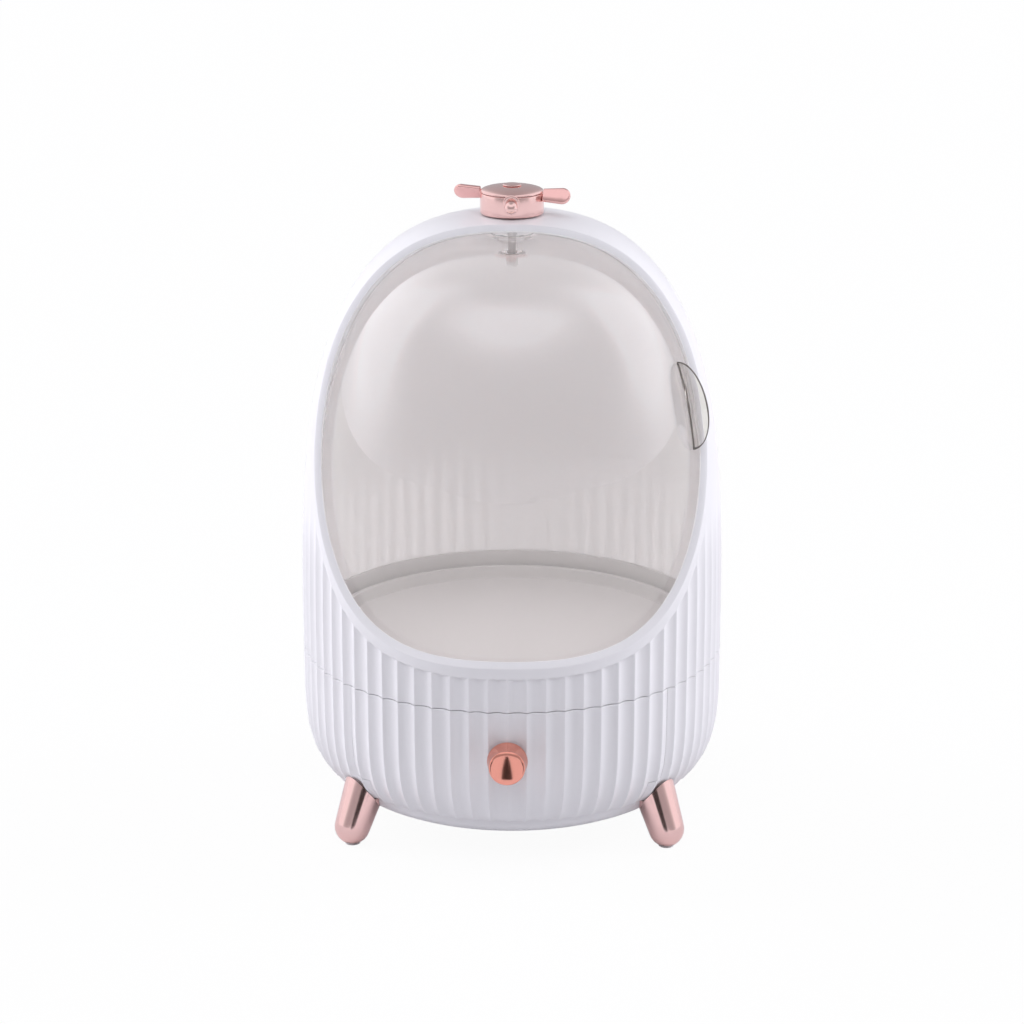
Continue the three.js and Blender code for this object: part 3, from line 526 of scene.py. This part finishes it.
def soften(corners, radius, steps=3, closed=False):
    """The same line with its corners rounded"""
    line = []
    last = len(corners) - 1
    for i, corner in enumerate(corners):
        if not closed and i in (0, last):
            line.append(tuple(corner))
            continue
        here = Vector(corner)
        before, after = Vector(corners[i - 1]) - here, Vector(corners[(i + 1) % len(corners)]) - here
        reach = min(radius, before.length * 0.45, after.length * 0.45)
        start, end = here + before.normalized() * reach, here + after.normalized() * reach
        for step in range(steps + 1):
            t = step / steps
            line.append(tuple(start.lerp(here, t).lerp(here.lerp(end, t), t)))
    return line


def joined(*parts):
    points, faces = [], []
    for more_points, more_faces in parts:
        faces += [[v + len(points) for v in face] for face in more_faces]
        points += [tuple(p) for p in more_points]
    return points, faces


about_axis = Matrix.Translation((0, axis_y, seam_z))
pitch = math.tau / flute_count
across_flute = np.array([0, .03, .09, .18, .32, .5, .68, .82, .91, .97])
azimuths = ((np.arange(-flute_count // 2, flute_count // 2)[:, None] + across_flute) * pitch).ravel()

shell_white = plastic("shell white", (0.780, 0.773, 0.800), (0.772, 0.765, 0.792), (0.27, 0.31))
# The shell's inner faces take a lighter copy of its white. This is painted light that stands in for light
# reaching the cavity, and it also scatters light through the wall.
shell_inside_painted_lighter = plastic("shell inside painted lighter", (0.943, 0.929, 0.936), (0.937, 0.923, 0.930), (0.36, 0.42),
                       Subsurface_Weight=1.0, Subsurface_Radius=(1.0, 0.97, 0.96),
                       Subsurface_Scale=glow_reach)


def upper_shell():
    tiny = 1e-9
    in_window = np.abs(azimuths) <= window_switch + tiny
    low = np.full(azimuths.shape, window_sill)
    high = np.full(azimuths.shape, sweep_top * 0.75)
    for _ in range(48):
        middle = (low + high) / 2
        inside = dome_radius(middle) * np.cos(azimuths) > rim_front(middle)
        high, low = np.where(inside, middle, high), np.where(inside, low, middle)
    switch = int(np.argmin(np.abs(azimuths - window_switch)))
    rim = np.where(in_window, low, low[switch])
    slope = np.gradient(low, azimuths) / dome_radius(low)
    stretch = np.sqrt(1 + slope ** 2)
    stretch = np.where(in_window, stretch, stretch[switch])
    below_rim = (0, .0012, .003, .0048, .0056, .0059, .0062, .0065, .0071, .0085)
    rows = [rim - distance * stretch for distance in below_rim]
    foot = half_gap + edge_round
    rows += [foot + (rows[-1] - foot) * share for share in (.88, .75, .6, .45, .3, .15, .05, 0)]
    heights = np.array(rows)
    across = dome_radius(heights)
    points = [at(across, azimuths, heights).reshape(-1, 3)]
    normals = [dome_normals(azimuths, across, heights).reshape(-1, 3)]
    lower = np.arange(heights.size).reshape(heights.shape)
    faces = cells(np.column_stack([lower, lower[:, :1]]))

    order = np.concatenate([np.flatnonzero(azimuths >= window_switch - tiny),
                            np.flatnonzero(azimuths <= -window_switch + tiny)])
    unrolled = np.where(azimuths[order] < 0, azimuths[order] + math.tau, azimuths[order])
    part = (unrolled - window_switch) / (math.tau - 2 * window_switch)
    outline, up, run = dome_outline(body_radius, dome_height)
    start = np.interp(rim[switch], up, run)
    narrow = window_setback / math.cos(math.radians(arch_turn))
    end = np.interp(-narrow, -outline, run)
    side = np.interp(np.linspace(start, end, 46)[1:], run, outline)
    arch = window_setback / np.cos(np.radians(np.arange(arch_turn - 5, -1, -5)))
    crown = np.array([.0235, .020, .016, .012, .008, .005, crown_hole + edge_round])
    upper = [lower[0][order]]
    total = heights.size
    for radius in np.concatenate([side, arch, crown]):
        height = dome_height_at(radius)
        opening = math.acos(min(rim_front(height) / radius, 1.0)) if radius > window_setback + tiny else 0.0
        turn = opening + part * (math.tau - 2 * opening)
        numbers = total + np.arange(len(turn))
        if opening < tiny:
            numbers[-1] = numbers[0]
        total += len(turn)
        points.append(at(radius, turn, height))
        normals.append(dome_normals(turn, radius, np.full(turn.shape, height)))
        upper.append(numbers)
    faces += cells(np.array(upper))
    points, normals = np.concatenate(points), np.concatenate(normals)

    used, faces = renumbered(faces)
    points, normals = points[used], normals[used]
    faces = facing(points, normals, faces)

    rim_loop = max(open_edges(faces), key=lambda loop: np.ptp(points[loop][:, 2]))
    tree = search_tree(points[rim_loop])
    distance = np.array([tree.find(p)[2] for p in points])
    share = smooth_step(distance, land_width - land_blend, land_width + land_blend)
    height = points[:, 2] - seam_z
    fade = 1 - smooth_step(height, *flute_fade)
    inner = points - normals * wall
    points = points - normals * (land_inset * fade * (1 - share))[:, None]
    made = walled(points, normals, inner, faces, shell_profile, share, draw=rim_draw)
    boss = soften([(crown_hole, boss_foot), (boss_radius, boss_foot), (boss_radius, boss_top),
                   (crown_hole, boss_top)], boss_round, closed=True)
    boss_points, boss_faces = turned(boss + boss[:1], 48, about_axis)
    shares = list(made[2]) + [0.0] * len(boss_points)
    return (*joined(made[:2], (boss_points, boss_faces)), shares)


def shell_profile(line):
    return rim_edge() if np.ptp(line[:, 2]) > dome_height / 4 else round_edge(wall)


points, faces, share = upper_shell()
shell = fluted(piece("capsule_shell", points, faces, shell_white, share), shell_white)
# The inner faces get the lighter copy of the white: painted light inside the cavity.
shell.data.materials.append(shell_inside_painted_lighter)
corners = np.array([vertex.co for vertex in shell.data.vertices]) - (0, axis_y, seam_z)
from_axis = np.hypot(corners[:, 0], corners[:, 1])
inner_skin = from_axis < dome_radius(corners[:, 2], body_radius - wall / 2, dome_height - wall / 2) - 0.0002
for face in shell.data.polygons:
    face.material_index = int(all(inner_skin[v] for v in face.vertices))
mount(shell, "housing", "shell_white", "upper_shell")

# Bowl: the lower half of the capsule in the same plastic, with flutes that line up with the shell's. A
# plain strip runs under the drawer's opening, and four posts inside take the screws of the floor above.
bowl_reach = 0.084 * 1.189
bowl_power = 4.97
bowl_depth = 0.084
bowl_floor = 0.081
strip_inset, strip_foot, strip_turn = 0.0021, 0.0865, 2.4
sill_depth = 0.0715
step_depth = 0.057
drawer_half, drawer_foot_half = math.radians(47.5), math.radians(42.5)
set_back = half_gap + edge_round
post_ring, post_radius, post_top = 0.090, 0.005, -0.0055
post_azimuths = (75, 115, 245, 285)
plug_radius = 0.0045


def bowl_radius(depth, inset=0.0):
    share = np.clip(depth / (bowl_reach - inset), 0, 1)
    return (body_radius - inset) * np.sqrt(1 - share ** bowl_power)


def strip_radius(depth):
    """The plain strip under the drawer turns in from the wall to the flat base"""
    top, foot = float(bowl_radius(sill_depth, strip_inset)), float(bowl_radius(bowl_depth, strip_inset))
    share = np.clip((depth - sill_depth) / (strip_foot - sill_depth), 0, 1)
    return top - (top - foot) * share ** strip_turn


def bowl_normals(azimuth, across, depth):
    out = 2 * across / body_radius ** 2
    down = bowl_power / bowl_reach * (np.clip(depth, 0, None) / bowl_reach) ** (bowl_power - 1)
    out, down = out / np.hypot(out, down), down / np.hypot(out, down)
    azimuth, out, down = np.broadcast_arrays(azimuth, out, down)
    return np.stack([out * np.sin(azimuth), -out * np.cos(azimuth), -down], -1)


def moved_columns(columns, shift):
    """The columns on the drawer's edges draw back from the parting line, towards the drawer or the bowl"""
    moved = columns.copy()
    for edge in (drawer_half, drawer_foot_half):
        for sign in (-1, 1):
            moved[np.argmin(np.abs(columns - sign * edge))] += sign * shift / body_radius
    return moved


def bowl_part(columns, rows, keep, wrap):
    """Grid of the bowl's wall: rows of (depth, inset, flute share, radius or None), kept cell by cell"""
    outer, normals, inner, share = [], [], [], []
    for depth, inset, row_share, radius in rows:
        across = np.full(columns.shape, bowl_radius(depth, inset) if radius is None else radius)
        flat = depth > strip_foot - 0.0003
        outer.append(at(across, columns, -depth))
        normals.append(np.tile([0.0, 0.0, -1.0], (len(columns), 1)) if flat
                       else bowl_normals(columns, across, min(depth, bowl_depth)))
        inner_depth = min(depth, bowl_floor)
        inner_across = np.minimum(bowl_radius(inner_depth, wall), across if radius is not None else 1)
        inner.append(at(inner_across, columns, -inner_depth))
        share.append(np.full(columns.shape, row_share))
    grid = np.arange(len(rows) * len(columns)).reshape(len(rows), len(columns))
    if wrap:
        grid = np.column_stack([grid, grid[:, :1]])
    faces = []
    for i in range(len(rows) - 1):
        for j in range(grid.shape[1] - 1):
            a, b = columns[j], columns[(j + 1) % len(columns)]
            middle = (a + b) / 2 if abs(a - b) < 1 else math.pi
            if keep(i, abs(middle)):
                corners = grid[i][j], grid[i][j + 1], grid[i + 1][j + 1], grid[i + 1][j]
                faces.append([int(v) for v in corners])
    used, faces = renumbered(faces)
    stack = [np.concatenate(part)[used] for part in (outer, normals, inner)]
    return (*stack, faces, np.concatenate(share)[used])


depths = [set_back, 0.0012, 0.008, 0.018, 0.028, 0.038, 0.048, step_depth + set_back,
          0.062, 0.067, 0.0705, 0.0711, 0.0714]
rows = [(depth, 0.0, 1.0, None) for depth in depths[:-2]]
rows += [(depths[-2], 0.00012, 1.0, None), (depths[-1], 0.0004, 1.0, None)]
sill_row = len(rows)
rows += [(depth, 0.0, 0.0, strip_radius(depth))
         for depth in (sill_depth + set_back, 0.0735, 0.076, 0.0785, 0.081, 0.083, 0.0847, 0.0858)]
rim_of_base = float(strip_radius(strip_foot))
rows += [(strip_foot - 0.0002, 0.0, 0.0, rim_of_base - 0.0002), (strip_foot, 0.0, 0.0, rim_of_base - 0.0012)]
rows += [(strip_foot, 0.0, 0.0, radius) for radius in (0.080, 0.055, 0.028, 0.004)]
step_row = depths.index(step_depth + set_back)
opening = (drawer_half + set_back / body_radius, drawer_foot_half + set_back / body_radius)


def in_bowl(row, azimuth):
    if row >= sill_row:
        return True
    return azimuth > opening[0] if row < step_row else azimuth > opening[1]


outer, normals, inner, faces, share = bowl_part(moved_columns(azimuths, set_back), rows, in_bowl, True)
points, faces, shares = walled(outer, normals, inner, faces, lambda line: round_edge(wall), share)
posts = [turned(soften([(0, -bowl_floor - 0.0004), (post_radius, -bowl_floor - 0.0004),
                        (post_radius, post_top), (0, post_top)], 0.0005), 32,
                about_axis @ Matrix.Translation((post_ring * math.sin(math.radians(a)),
                                                 -post_ring * math.cos(math.radians(a)), 0)))
         for a in post_azimuths]
plate = turned([(0, -strip_foot), (plug_radius, -strip_foot), (plug_radius, -bowl_floor), (0, -bowl_floor)],
               32, about_axis)
before = len(points)
points, faces = joined((points, faces), *posts, plate)
shares += [0.0] * (len(points) - before)
mount(fluted(piece("capsule_bowl", points, faces, shell_white, shares), shell_white),
      "housing", "shell_white", "base_bowl")

# Drawer front: a piece of the bowl's own wall, parted along two flute valleys, in the same white plastic.
# The box behind it is moulded satin white, and one screw holds knob, front and box together.
front_rows = [0.0003 + edge_round, 0.002, 0.008, 0.018, 0.028, 0.038, 0.048, step_depth - set_back,
              0.062, 0.067, sill_depth - set_back]
front_step = front_rows.index(step_depth - set_back)
front_columns = moved_columns(azimuths, -set_back)
reach = drawer_half - set_back / body_radius
front_columns = front_columns[np.abs(front_columns) <= reach + 1e-6]
narrow_reach = drawer_foot_half - set_back / body_radius
outer, normals, inner, faces, share = bowl_part(
    front_columns, [(depth, 0.0, 1.0, None) for depth in front_rows],
    lambda row, azimuth: row < front_step or azimuth < narrow_reach, False)
points, faces, shares = walled(outer, normals, inner, faces, lambda line: round_edge(wall), share)
mount(fluted(piece("drawer_face", points, faces, shell_white, shares), shell_white),
      "drawer", "shell_white", "drawer_front")

inner_white = plastic("inner white", (0.955, 0.950, 0.945), (0.948, 0.943, 0.938), (0.34, 0.40))

# Knob: a short turned cone with a rounded front edge and a faintly domed face, copper plated and polished.
# The drawer's screw holds it against the middle of the drawer front.
knob_height = -0.0284
knob_back, knob_collar, knob_collar_length = body_radius + 0.0003, 0.0115, 0.0014
knob_length, knob_crown, knob_radius = 0.0125, 0.0014, 0.0102


def plated(name, light, dark, roughness, patch=90.0):
    """Polished plating: a bright metal with a faint change of tone and very fine polishing marks"""
    return plastic(name, light, dark, roughness, patch, grain=900.0, grain_depth=0.012, Metallic=1.0)


copper = plated("copper plate", (0.86, 0.375, 0.295), (0.83, 0.345, 0.265), (0.09, 0.13))
forward = about_axis @ Matrix.Translation((0, 0, knob_height)) @ Matrix.Rotation(math.radians(90), 4, "X")
knob_line = [(0, knob_back), (knob_collar, knob_back), (knob_collar, knob_back + knob_collar_length),
             (knob_collar - 0.0003, knob_back + knob_collar_length + 0.0006)]
face_line = [(knob_radius, knob_back + knob_length - knob_crown)]
face_line += [(knob_radius * math.cos(turn), knob_back + knob_length - knob_crown * (1 - math.sin(turn)))
              for turn in (math.radians(a) for a in range(24, 90, 6))]
rounded_knob = soften(knob_line, 0.0005)
rounded_knob += soften([knob_line[-1], *face_line], 0.0016, 6)[1:] + [(0, knob_back + knob_length)]
points, faces = turned(rounded_knob, 96, forward)
mount(piece("copper_knob", points, faces, copper), "drawer", "copper_plate", "drawer_knob", sharp=60)

# Partition floor: a satin white disc screwed to the bowl's posts. Its outer ring centres the shell and
# holds the visor's foot in a track; a low curb inside keeps the loose storage tray in place.
track_outer, track_inner, track_top = 0.1215, 0.1202, 0.016
curb_outer, curb_inner, curb_top = 0.1166, 0.1146, 0.0075
disc_under, disc_top, track_floor = -0.0052, -0.0022, 0.0007
floor_line = [(0, disc_under), (track_outer, disc_under), (track_outer, track_top),
              (track_inner, track_top), (track_inner, track_floor), (curb_outer, track_floor),
              (curb_outer, curb_top), (curb_inner, curb_top), (curb_inner, disc_top), (0, disc_top)]
points, faces = turned(soften(floor_line, 0.0006), 240, about_axis)
mount(piece("compartment_floor", points, faces, inner_white), "housing", "inner_white", "partition_floor")
tray_edge, tray_foot, tray_top, tray_wall = curb_inner - 0.0005, -0.0019, 0.008, 0.0018
tray_line = [(0, tray_foot), (tray_edge, tray_foot), (tray_edge, tray_top),
             (tray_edge - tray_wall, tray_top), (tray_edge - tray_wall, 0.0), (0, 0.0)]
points, faces = turned(soften(tray_line, 0.0008, 4), 240, about_axis)
mount(piece("loose_tray", points, faces, inner_white), "housing", "inner_white", "storage_tray")

# Visor: a thin clear moulding with a slight warm tint, part of a dome that fits inside the shell. It turns
# on a screw under the crown, and a half-moon tab is glued to it as its handle.
visor_radius, visor_reach, visor_wall = 0.1194, 0.249, 0.002
visor_half = math.radians(80)
visor_foot = 0.0016
visor_opening, visor_rows, visor_columns = 0.0118, 72, 129
hub_bore, hub_radius, flange_radius = 0.0029, 0.006, 0.012
hub_foot, flange_foot, hub_top = 0.2373, 0.245, 0.2496


def clear_plastic(name, tint, passed, roughness, bend=1.62):
    """Clear plastic that bends and mirrors what is seen, and lets the light through to what it covers"""
    material = plastic(name, tint, tint, roughness, patch=20.0, grain=60.0, grain_depth=0.01,
                       Transmission_Weight=1.0, IOR=bend)
    tree = material.node_tree
    path = node_of(tree, "ShaderNodeLightPath")
    lit = reckon(tree, "MAXIMUM", path.outputs["Is Shadow Ray"], path.outputs["Is Diffuse Ray"])
    open_way = feeds(tree, node_of(tree, "ShaderNodeBsdfTransparent"), Color=(*passed, 1))
    shaded = mixed(tree, lit, tree.nodes["Principled BSDF"], open_way)
    feed(tree, tree.nodes["Material Output"].inputs["Surface"], shaded)
    return material


clear = clear_plastic("clear plastic", (0.988, 0.952, 0.932), (0.995, 0.985, 0.98), (0.0, 0.0))
hub_clear = clear_plastic("hub plastic", (0.99, 0.985, 0.98), (0.99, 0.985, 0.98), (0.0, 0.02), bend=1.04)
visor_reached = visor_half - edge_round / visor_radius
columns = np.linspace(-visor_reached, visor_reached, visor_columns)
outline, up, run = dome_outline(visor_radius, visor_reach)
start = np.interp(visor_foot + edge_round, up, run)
end = np.interp(-visor_opening, -outline, run)
across = np.interp(np.linspace(start, end, visor_rows), run, outline)[:, None]
height = dome_height_at(across, visor_radius, visor_reach)
outer = at(across, columns, height)
normals = dome_normals(columns, across, np.broadcast_to(height, outer.shape[:2]), visor_radius, visor_reach)
outer, normals = outer.reshape(-1, 3), normals.reshape(-1, 3)
grid = np.arange(len(outer)).reshape(visor_rows, visor_columns)
points, faces, _ = walled(outer, normals, outer - normals * visor_wall, cells(grid),
                          lambda line: round_edge(visor_wall), [0.0] * len(outer))
hub = soften([(hub_bore, hub_foot), (hub_radius, hub_foot), (hub_radius, flange_foot),
              (flange_radius, flange_foot), (flange_radius, hub_top), (hub_bore, hub_top)],
             0.0004, closed=True)
count = len(faces)
points, faces = joined((points, faces), turned(hub + hub[:1], 64, about_axis))
visor = piece("clear_visor", points, faces, clear)
visor.data.materials.append(hub_clear)
visor.data.polygons.foreach_set("material_index", [0] * count + [1] * (len(faces) - count))
mount(visor, "visor", "visor_clear", "visor")

tab_clear = clear_plastic("tab plastic", (0.80, 0.78, 0.76), (0.9, 0.89, 0.88), (0.02, 0.06))
# The tab's rim faces are painted dark, opaque: painted shade standing in for how the edge of the clear tab
# darkens as it bends the light.
tab_edge_painted_dark = plastic("tab edge painted dark", (0.15, 0.13, 0.12), (0.12, 0.105, 0.097), (0.5, 0.6), Specular_IOR_Level=0.2)
tab_azimuth, tab_lean = math.radians(68.0), math.radians(1.8)
tab_foot, tab_top, tab_reach, tab_half, tab_sag = 0.131, 0.181, 0.0134, 0.0009, 0.03
feet = [Vector((float(dome_radius(h, visor_radius, visor_reach)) + 0.0003, h))
        for h in np.linspace(tab_foot, tab_top, 24)]
low, high = feet[0], feet[-1]
away = Vector((high.y - low.y, low.x - high.x)).normalized()
full_moon = math.pi * np.linspace(0, 1, 48)[1:-1]
bulge = [low.lerp(high, 0.5 - 0.5 * math.cos(t) - tab_sag * math.sin(t) ** 2)
         + away * tab_reach * math.sin(t) for t in full_moon]
outline = [(p.x, p.y) for p in [*bulge, *reversed(feet)]]
count = len(outline)
points, faces = [], []
middle = sum((Vector(p) for p in outline), Vector((0, 0))) / count
rims = ((-1, 0.0005), (-0.82, 0.0002), (-0.5, 0.0), (0.5, 0.0), (0.82, 0.0002), (1, 0.0005))
for level, inset in rims:
    for p in outline:
        towards = (middle - Vector(p)).normalized() * inset
        radius, height = p[0] + towards.x, p[1] + towards.y
        side = level * tab_half / radius
        lean = tab_lean * (height - tab_foot) / (tab_top - tab_foot)
        points.append(at(radius, tab_azimuth + lean + side, height))
for row in range(len(rims) - 1):
    for i in range(count):
        j = (i + 1) % count
        faces.append([row * count + i, row * count + j, (row + 1) * count + j, (row + 1) * count + i])
faces += [list(range(count))[::-1], [(len(rims) - 1) * count + i for i in range(count)]]
tab = piece("clear_tab", points, faces, tab_clear)
# Rim faces take the painted dark edge, the two flat sides stay clear.
tab.data.materials.append(tab_edge_painted_dark)
tab.data.polygons.foreach_set("material_index", [1] * (len(faces) - 2) + [0, 0])
mount(tab, "visor", "visor_clear", "visor_pull_tab")

# Legs: four hollow plated cones with rounded ends, screwed on from inside the bowl, each standing on a
# small soft pad. Their tops are cut to the bowl's shape.
rose = plated("rose gold", (0.89, 0.61, 0.575), (0.87, 0.585, 0.55), (0.13, 0.18))
leg_azimuths = {"front_left": -50, "front_right": 50, "rear_right": 130, "rear_left": 230}
leg_splay, leg_ring = math.radians(23.2), 0.1204
leg_tip, leg_top, leg_centre = 0.0105, 0.0129, -0.0903
leg_length = 0.0313 / math.cos(leg_splay)
tip_turns = np.radians([-90, -75, -60, -45, -30, -15, 0])
pad_line, top_sink = 0.001, 0.0004


def envelope(depth):
    if depth > strip_foot + 2 * half_gap:
        return 0.0
    under_strip = depth > sill_depth + 2 * half_gap
    return float(strip_radius(depth) + 2 * half_gap if under_strip else bowl_radius(depth, -2 * half_gap))


def leg_mesh(azimuth):
    columns = 72
    place = Matrix.Translation((leg_ring, 0, leg_centre)) @ Matrix.Rotation(-leg_splay, 4, "Y")
    stand = Matrix.Rotation(math.radians(azimuth - 90), 4, "Z") @ place
    ground = -seam_z + pad_line

    def world(radius, turn, along):
        return stand @ Vector((radius * math.cos(turn), radius * math.sin(turn), along))

    def clear_of_bowl(p):
        depth = -p.z
        return math.hypot(p.x, p.y) > envelope(depth)

    points, grid = [], []
    foot = [(leg_tip * math.cos(t), leg_tip * math.sin(t)) for t in tip_turns]
    shares = np.linspace(0, 1, 12)[1:]
    turns = [math.tau * i / columns for i in range(columns)]
    meets = []
    for turn in turns:
        low, high = 0.0, 1.0
        for _ in range(30):
            t = (low + high) / 2
            p = world(leg_tip + (leg_top - leg_tip) * t, turn, leg_length * t)
            low, high = (t, high) if clear_of_bowl(p) else (low, t)
        meets.append(low)
    lines = []
    for turn, meet in zip(turns, meets):
        line = [world(radius, turn, along) for radius, along in foot[1:]]
        line += [world(leg_tip + (leg_top - leg_tip) * t * meet, turn, leg_length * t * meet)
                 for t in shares]
        lines.append([Vector((p.x, p.y, max(p.z, ground))) for p in line])
    first = world(0, 0, -leg_tip)
    points.append(Vector((first.x, first.y, ground)))
    grid.append([0] * (columns + 1))
    for row in range(len(lines[0])):
        ring = list(range(len(points), len(points) + columns))
        points += [line[row] for line in lines]
        grid.append(ring + ring[:1])
    tops = [line[-1] for line in lines]
    middle = sum(tops, Vector()) / columns
    for share in (0.93, 0.6, 0.25, 0.0):
        ring = []
        for p in (tops if share else tops[:1]):
            q = middle.lerp(p, share)
            radius = math.hypot(q.x, q.y)
            wanted = envelope(-q.z)
            scale = 1 if share > 0.9 or not wanted else max(wanted, 0.05) / radius
            ring.append(len(points))
            points.append(Vector((q.x * scale, q.y * scale, q.z - top_sink)))
        grid.append(ring + ring[:1] if share else ring * (columns + 1))
    lift = Matrix.Translation((0, axis_y, seam_z))
    return [lift @ p for p in points], cells(grid)


for name, azimuth in leg_azimuths.items():
    points, faces = leg_mesh(azimuth)
    mount(piece(f"plated_leg_{name}", points, faces, rose), "housing", "rose_gold", f"leg_{name}", sharp=60)

# Propeller: a plated drum with a shallow domed cap and a small button, two pitched paddles on its sides,
# and a ring with a ball-ended nose on its front. It spins freely on an axle in the shell's crown.
drum_foot, drum_top, drum_rim = 0.2605, 0.2737, 0.2725
drum_radius, drum_bore, drum_lip, drum_recess = 0.0184, 0.0033, 0.0022, 0.0014


def propeller_piece(name, points, faces, plating=rose):
    made = piece(f"propeller_{name}", points, faces, plating)
    mount(made, "rotor", "rose_gold", f"rotor_{name}", sharp=60)


drum_line = [(drum_bore, drum_foot), (drum_radius, drum_foot), (drum_radius, drum_rim),
             (drum_radius - drum_lip, drum_rim), (drum_radius - drum_lip, drum_rim - drum_recess),
             (drum_bore, drum_rim - drum_recess)]
drum = soften(drum_line, 0.0006, closed=True)
propeller_piece("drum", *turned(drum + drum[:1], 128, about_axis))
cap_foot, cap_rise, cap_wall = drum_rim + 0.0003, 0.0036, 0.0011
cap_top, cap_hollow, cap_fullness = cap_foot + cap_rise, drum_radius - cap_wall, 0.85
turns = [math.radians(a) for a in (2, 7, 14, 22, 31, 41, 52, 64, 77)]
dome = [(drum_radius * math.cos(a), cap_foot + cap_rise * math.sin(a) ** cap_fullness) for a in turns]
hollow = [(cap_hollow * math.cos(a), cap_foot + (cap_rise - cap_wall) * math.sin(a)) for a in turns]
lip = [(cap_hollow, cap_foot), (drum_radius - 0.0002, cap_foot)]
cap_line = [(0, cap_top - cap_wall), *hollow[::-1], *lip, *dome, (0, cap_top)]
propeller_piece("cap", *turned(cap_line, 128, about_axis))
button_radius, button_foot, button_top = 0.0056, cap_top - 0.0001, cap_top + 0.0010
button = soften([(0, button_foot), (button_radius - 0.0006, button_foot),
                 (button_radius, button_foot + 0.0004), (button_radius - 0.0010, button_top - 0.0001),
                 (0, button_top)], 0.0005)
propeller_piece("button", *turned(button, 64, about_axis))

blade_rose = plated("blade rose gold", (0.89, 0.535, 0.505), (0.87, 0.51, 0.48), (0.14, 0.19))
blade_tip, blade_half, blade_root, blade_half_thickness = 0.0346, 0.0048, 0.0187, 0.0014
blade_pitch, blade_sweep, blade_drop, blade_narrowing = math.radians(58), 14, 0.0022, 0.8


def blade(azimuth):
    points, grid = [], []
    levels = ((-1, 0.0009), (-0.8, 0.0003), (-0.35, 0.0), (0.35, 0.0), (0.8, 0.0003), (1, 0.0009))
    place = about_axis @ Matrix.Translation((0, 0, drum_top - blade_drop))
    place = place @ Matrix.Rotation(math.radians(azimuth), 4, "Z") @ Matrix.Rotation(blade_pitch, 4, "X")
    for level, inset in levels:
        half = blade_half - inset
        ring = [(blade_root, -half * blade_narrowing)]
        ring += [(blade_tip - blade_half + half * math.cos(t), half * math.sin(t))
                 for t in np.linspace(-math.pi / 2, math.pi / 2, 25)]
        ring += [(blade_root, half * blade_narrowing)]
        numbers = list(range(len(points), len(points) + len(ring)))
        points += [place @ Vector((x, y, level * blade_half_thickness)) for x, y in ring]
        grid.append(numbers + numbers[:1])
    return points, cells(grid) + [grid[0][:-1][::-1], grid[-1][:-1]]


for name, azimuth in (("left", 180 - blade_sweep), ("right", -blade_sweep)):
    propeller_piece(f"blade_{name}", *blade(azimuth), blade_rose)

ring_radius, ring_back, ring_drop = 0.0047, drum_radius - 0.003, 0.0041
nose_frame = about_axis @ Matrix.Translation((0, 0, drum_top - ring_drop))
nose_frame = nose_frame @ Matrix.Rotation(math.radians(90), 4, "X")
face = drum_radius + 0.0015
ring_line = soften([(0, ring_back), (ring_radius, ring_back), (ring_radius, face - 0.0004),
                    (ring_radius - 0.0006, face), (0, face)], 0.0005)
propeller_piece("nose_ring", *turned(ring_line, 64, nose_frame))
ball = face + 0.0003 + 0.0062
nose_radius, nose_neck, nose_droop = 0.0038, 0.0022, math.radians(14)
nose_line = [(0, 0.0003), (nose_neck, 0.0003)]
nose_line += [(nose_radius * math.cos(turn), ball - face + nose_radius * math.sin(turn))
              for turn in (math.radians(a) for a in range(-54, 90, 9))]
nose_line.append((0, ball - face + nose_radius))
droop = nose_frame @ Matrix.Translation((0, 0, face)) @ Matrix.Rotation(nose_droop, 4, "X")
propeller_piece("nose", *turned(nose_line, 48, droop))

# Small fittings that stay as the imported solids: screws and axle of zinc plated steel, the visor's pivot
# screw coated white, the drawer box and rails of satin plastic, and the soft pads and buffer.
steel = plated("zinc plated steel", (0.72, 0.73, 0.75), (0.66, 0.67, 0.70), (0.25, 0.38))
pale = plastic("white coated steel", (0.92, 0.915, 0.91), (0.90, 0.895, 0.89), (0.35, 0.45))
soft_pad = plastic("soft pad", (0.70, 0.70, 0.71), (0.64, 0.64, 0.65), (0.6, 0.8))
looks = {"screw_steel": steel, "soft_pad": soft_pad, "inner_white": inner_white}
for row in frame["record"]["subparts"]:
    if row["material_slot"] in looks:
        node = frame["nodes"][row["node"]]
        finish = pale if row["node"] == "visor_pivot_screw" else looks[row["material_slot"]]
        node.data.materials.clear()
        node.data.materials.append(finish)
